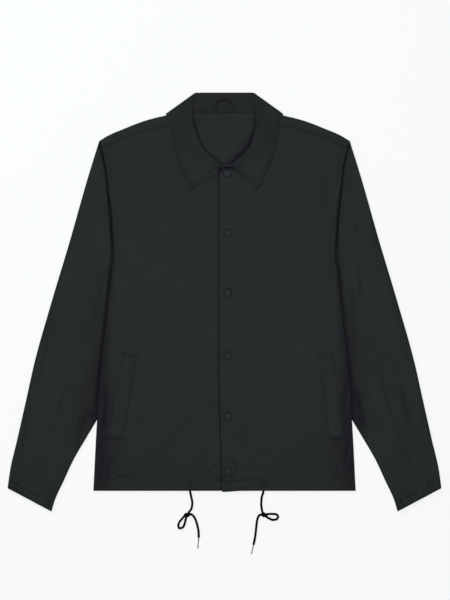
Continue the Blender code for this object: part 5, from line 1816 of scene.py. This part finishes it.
def cloth_material(name, colour, pitch, roughness, sheen):
    """Plain-woven nylon: fine threads both ways, faint crinkles and a slightly uneven tone, darkened by
    painted shade.
    """
    made, tree, shader = new_material(name, colour, roughness)
    # painted shade: the mesh's shade attribute darkens and tints the base colour and the specular tint, and
    # makes the cloth rougher
    shade = added(tree, "Attribute", {"attribute_name": "shade"}).outputs["Fac"]
    multiply = {"operation": "MULTIPLY"}
    multiply_add = {"operation": "MULTIPLY_ADD"}
    warp, weft = threads(tree, "X", pitch), threads(tree, "Y", pitch)
    weave = added(tree, "Math", multiply, input_0=warp, input_1=weft).outputs["Value"]
    normal = bumped(tree, noise(tree, 55.0, 4.0), 0.5, 0.1)
    normal = bumped(tree, noise(tree, 240.0, 3.0), 0.15, 0.16, normal)
    normal = bumped(tree, weave, 0.05, 0.35, normal)
    taken = [-depth for depth in SHADE_DEPTH]
    lit = added(tree, "VectorMath", multiply_add, input_0=shade, input_1=taken, input_2=(1.0, 1.0, 1.0))
    lit = lit.outputs["Vector"]
    tint = added(tree, "VectorMath", multiply, input_0=lit, input_1=colour).outputs["Vector"]
    rough = noise(tree, 30.0, 2.0, roughness - 0.015, roughness + 0.015)
    rough = added(tree, "Math", multiply_add, input_0=shade, input_1=SHADE_DULLING, input_2=rough)
    tree.links.new(normal, shader.inputs["Normal"])
    tree.links.new(scaled(tree, tint, noise(tree, 6.0, 3.0, 0.88, 1.12)), shader.inputs["Base Color"])
    tree.links.new(lit, shader.inputs["Specular Tint"])
    tree.links.new(rough.outputs["Value"], shader.inputs["Roughness"])
    shader.inputs["Specular IOR Level"].default_value = 0.35
    shader.inputs["Sheen Weight"].default_value = sheen
    shader.inputs["Sheen Roughness"].default_value = 0.45
    return made


def cord_material():
    """Matt braided cord with a little fuzz."""
    made, tree, shader = new_material("cord_braid", CORD_COLOUR, 1.0)
    colour = scaled(tree, CORD_COLOUR, noise(tree, 900.0, 2.0, 0.75, 1.25))
    tree.links.new(colour, shader.inputs["Base Color"])
    tree.links.new(bumped(tree, noise(tree, 2400.0, 3.0), 0.12, 0.5), shader.inputs["Normal"])
    shader.inputs["Specular IOR Level"].default_value = 0.03
    return made


def lacquer_material():
    """Lacquered metal cap, slightly uneven from wear."""
    made, tree, shader = new_material("snap_cap_lacquer", SNAP_COLOUR, 0.66)
    colour = scaled(tree, SNAP_COLOUR, noise(tree, 260.0, 4.0, 0.85, 1.15))
    tree.links.new(colour, shader.inputs["Base Color"])
    tree.links.new(noise(tree, 600.0, 4.0, 0.6, 0.72), shader.inputs["Roughness"])
    return made


def tip_material():
    """Bright nickel with fine scratches."""
    made, tree, shader = new_material("tip_nickel", TIP_COLOUR, 0.28, metallic=1.0)
    colour = scaled(tree, TIP_COLOUR, noise(tree, 500.0, 3.0, 0.88, 1.05))
    tree.links.new(colour, shader.inputs["Base Color"])
    tree.links.new(noise(tree, 1500.0, 4.0, 0.2, 0.38), shader.inputs["Roughness"])
    tree.links.new(bumped(tree, noise(tree, 1800.0, 2.0), 0.02, 0.3), shader.inputs["Normal"])
    return made


def floor_material():
    """Matt white paper."""
    made, tree, shader = new_material("paper", FLOOR_COLOUR, 0.9)
    colour = scaled(tree, FLOOR_COLOUR, noise(tree, 3.0, 2.0, 0.995, 1.005))
    tree.links.new(colour, shader.inputs["Base Color"])
    shader.inputs["Specular IOR Level"].default_value = 0.1
    shader.inputs["Emission Color"].default_value = (1.0, 1.0, 1.0, 1.0)
    shader.inputs["Emission Strength"].default_value = FLOOR_GLOW
    return made


def add_camera():
    """The photograph's view: straight down, with the hem towards the bottom of the frame."""
    data = bpy.data.cameras.new("camera")
    data.sensor_width = SENSOR
    data.lens = SENSOR * (CAMERA_HEIGHT - LOFT) / FRAME_HEIGHT
    made = bpy.data.objects.new("camera", data)
    made.location = (FRAME_CENTRE[0] * MM, FRAME_CENTRE[1] * MM, CAMERA_HEIGHT * MM)
    bpy.context.collection.objects.link(made)
    bpy.context.scene.camera = made


def add_light(name, place, size, power):
    """A square soft light that faces the middle of the jacket."""
    data = bpy.data.lights.new(name, "AREA")
    data.size = size
    data.energy = power
    data.color = LIGHT_COLOUR
    made = bpy.data.objects.new(name, data)
    made.location = place
    aim = math.atan2(math.hypot(place[0], place[1]), place[2])
    made.rotation_euler = (aim, 0.0, math.atan2(place[1], place[0]) + math.pi / 2.0)
    bpy.context.collection.objects.link(made)


def add_studio():
    """A white floor, a dim even sky, a soft light overhead and a weak one at the upper left."""
    mesh = bpy.data.meshes.new("floor")
    corners = [(x * FLOOR_HALF, y * FLOOR_HALF, 0.0) for x, y in ((-1, -1), (1, -1), (1, 1), (-1, 1))]
    mesh.from_pydata(corners, [], [(0, 1, 2, 3)])
    mesh.materials.append(floor_material())
    floor = bpy.data.objects.new("floor", mesh)
    floor.location = (0.0, 0.0, -FLOOR_DROP)
    bpy.context.collection.objects.link(floor)
    world = bpy.data.worlds.new("sky")
    world.use_nodes = True
    sky = world.node_tree.nodes["Background"].inputs
    sky["Color"].default_value = (1.0, 1.0, 1.0, 1.0)
    sky["Strength"].default_value = SKY_STRENGTH
    bpy.context.scene.world = world
    for name, place, size, power in LIGHTS:
        add_light(name, place, size, power)
    bpy.context.scene.view_settings.view_transform = "Standard"


def main():
    """Builds every piece."""
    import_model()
    add_camera()
    cord, metal = cord_material(), tip_material()
    for side in ("right", "left"):
        add_cord(side, cord, metal)
    add_studio()
    cloth, collar_cloth, tape, thread = (cloth_material(*row) for row in CLOTHS)
    snap = lacquer_material()
    add_front("left", OVER_EDGE, cloth)
    add_front("right", -UNDER_EDGE, cloth)
    add_back(cloth)
    add_sleeves(cloth)
    for word, side in SIDES.items():
        add_welt(word, side, cloth)
    add_stand(collar_cloth)
    add_fall(collar_cloth)
    add_loop(tape)
    for number, (x, y) in enumerate(SNAPS, start=1):
        add_snap(number, x, y, snap)
    front_stitching(thread)
    collar_stitching(thread)
    welt_stitching(thread)
    cuff_stitching(thread)


main()
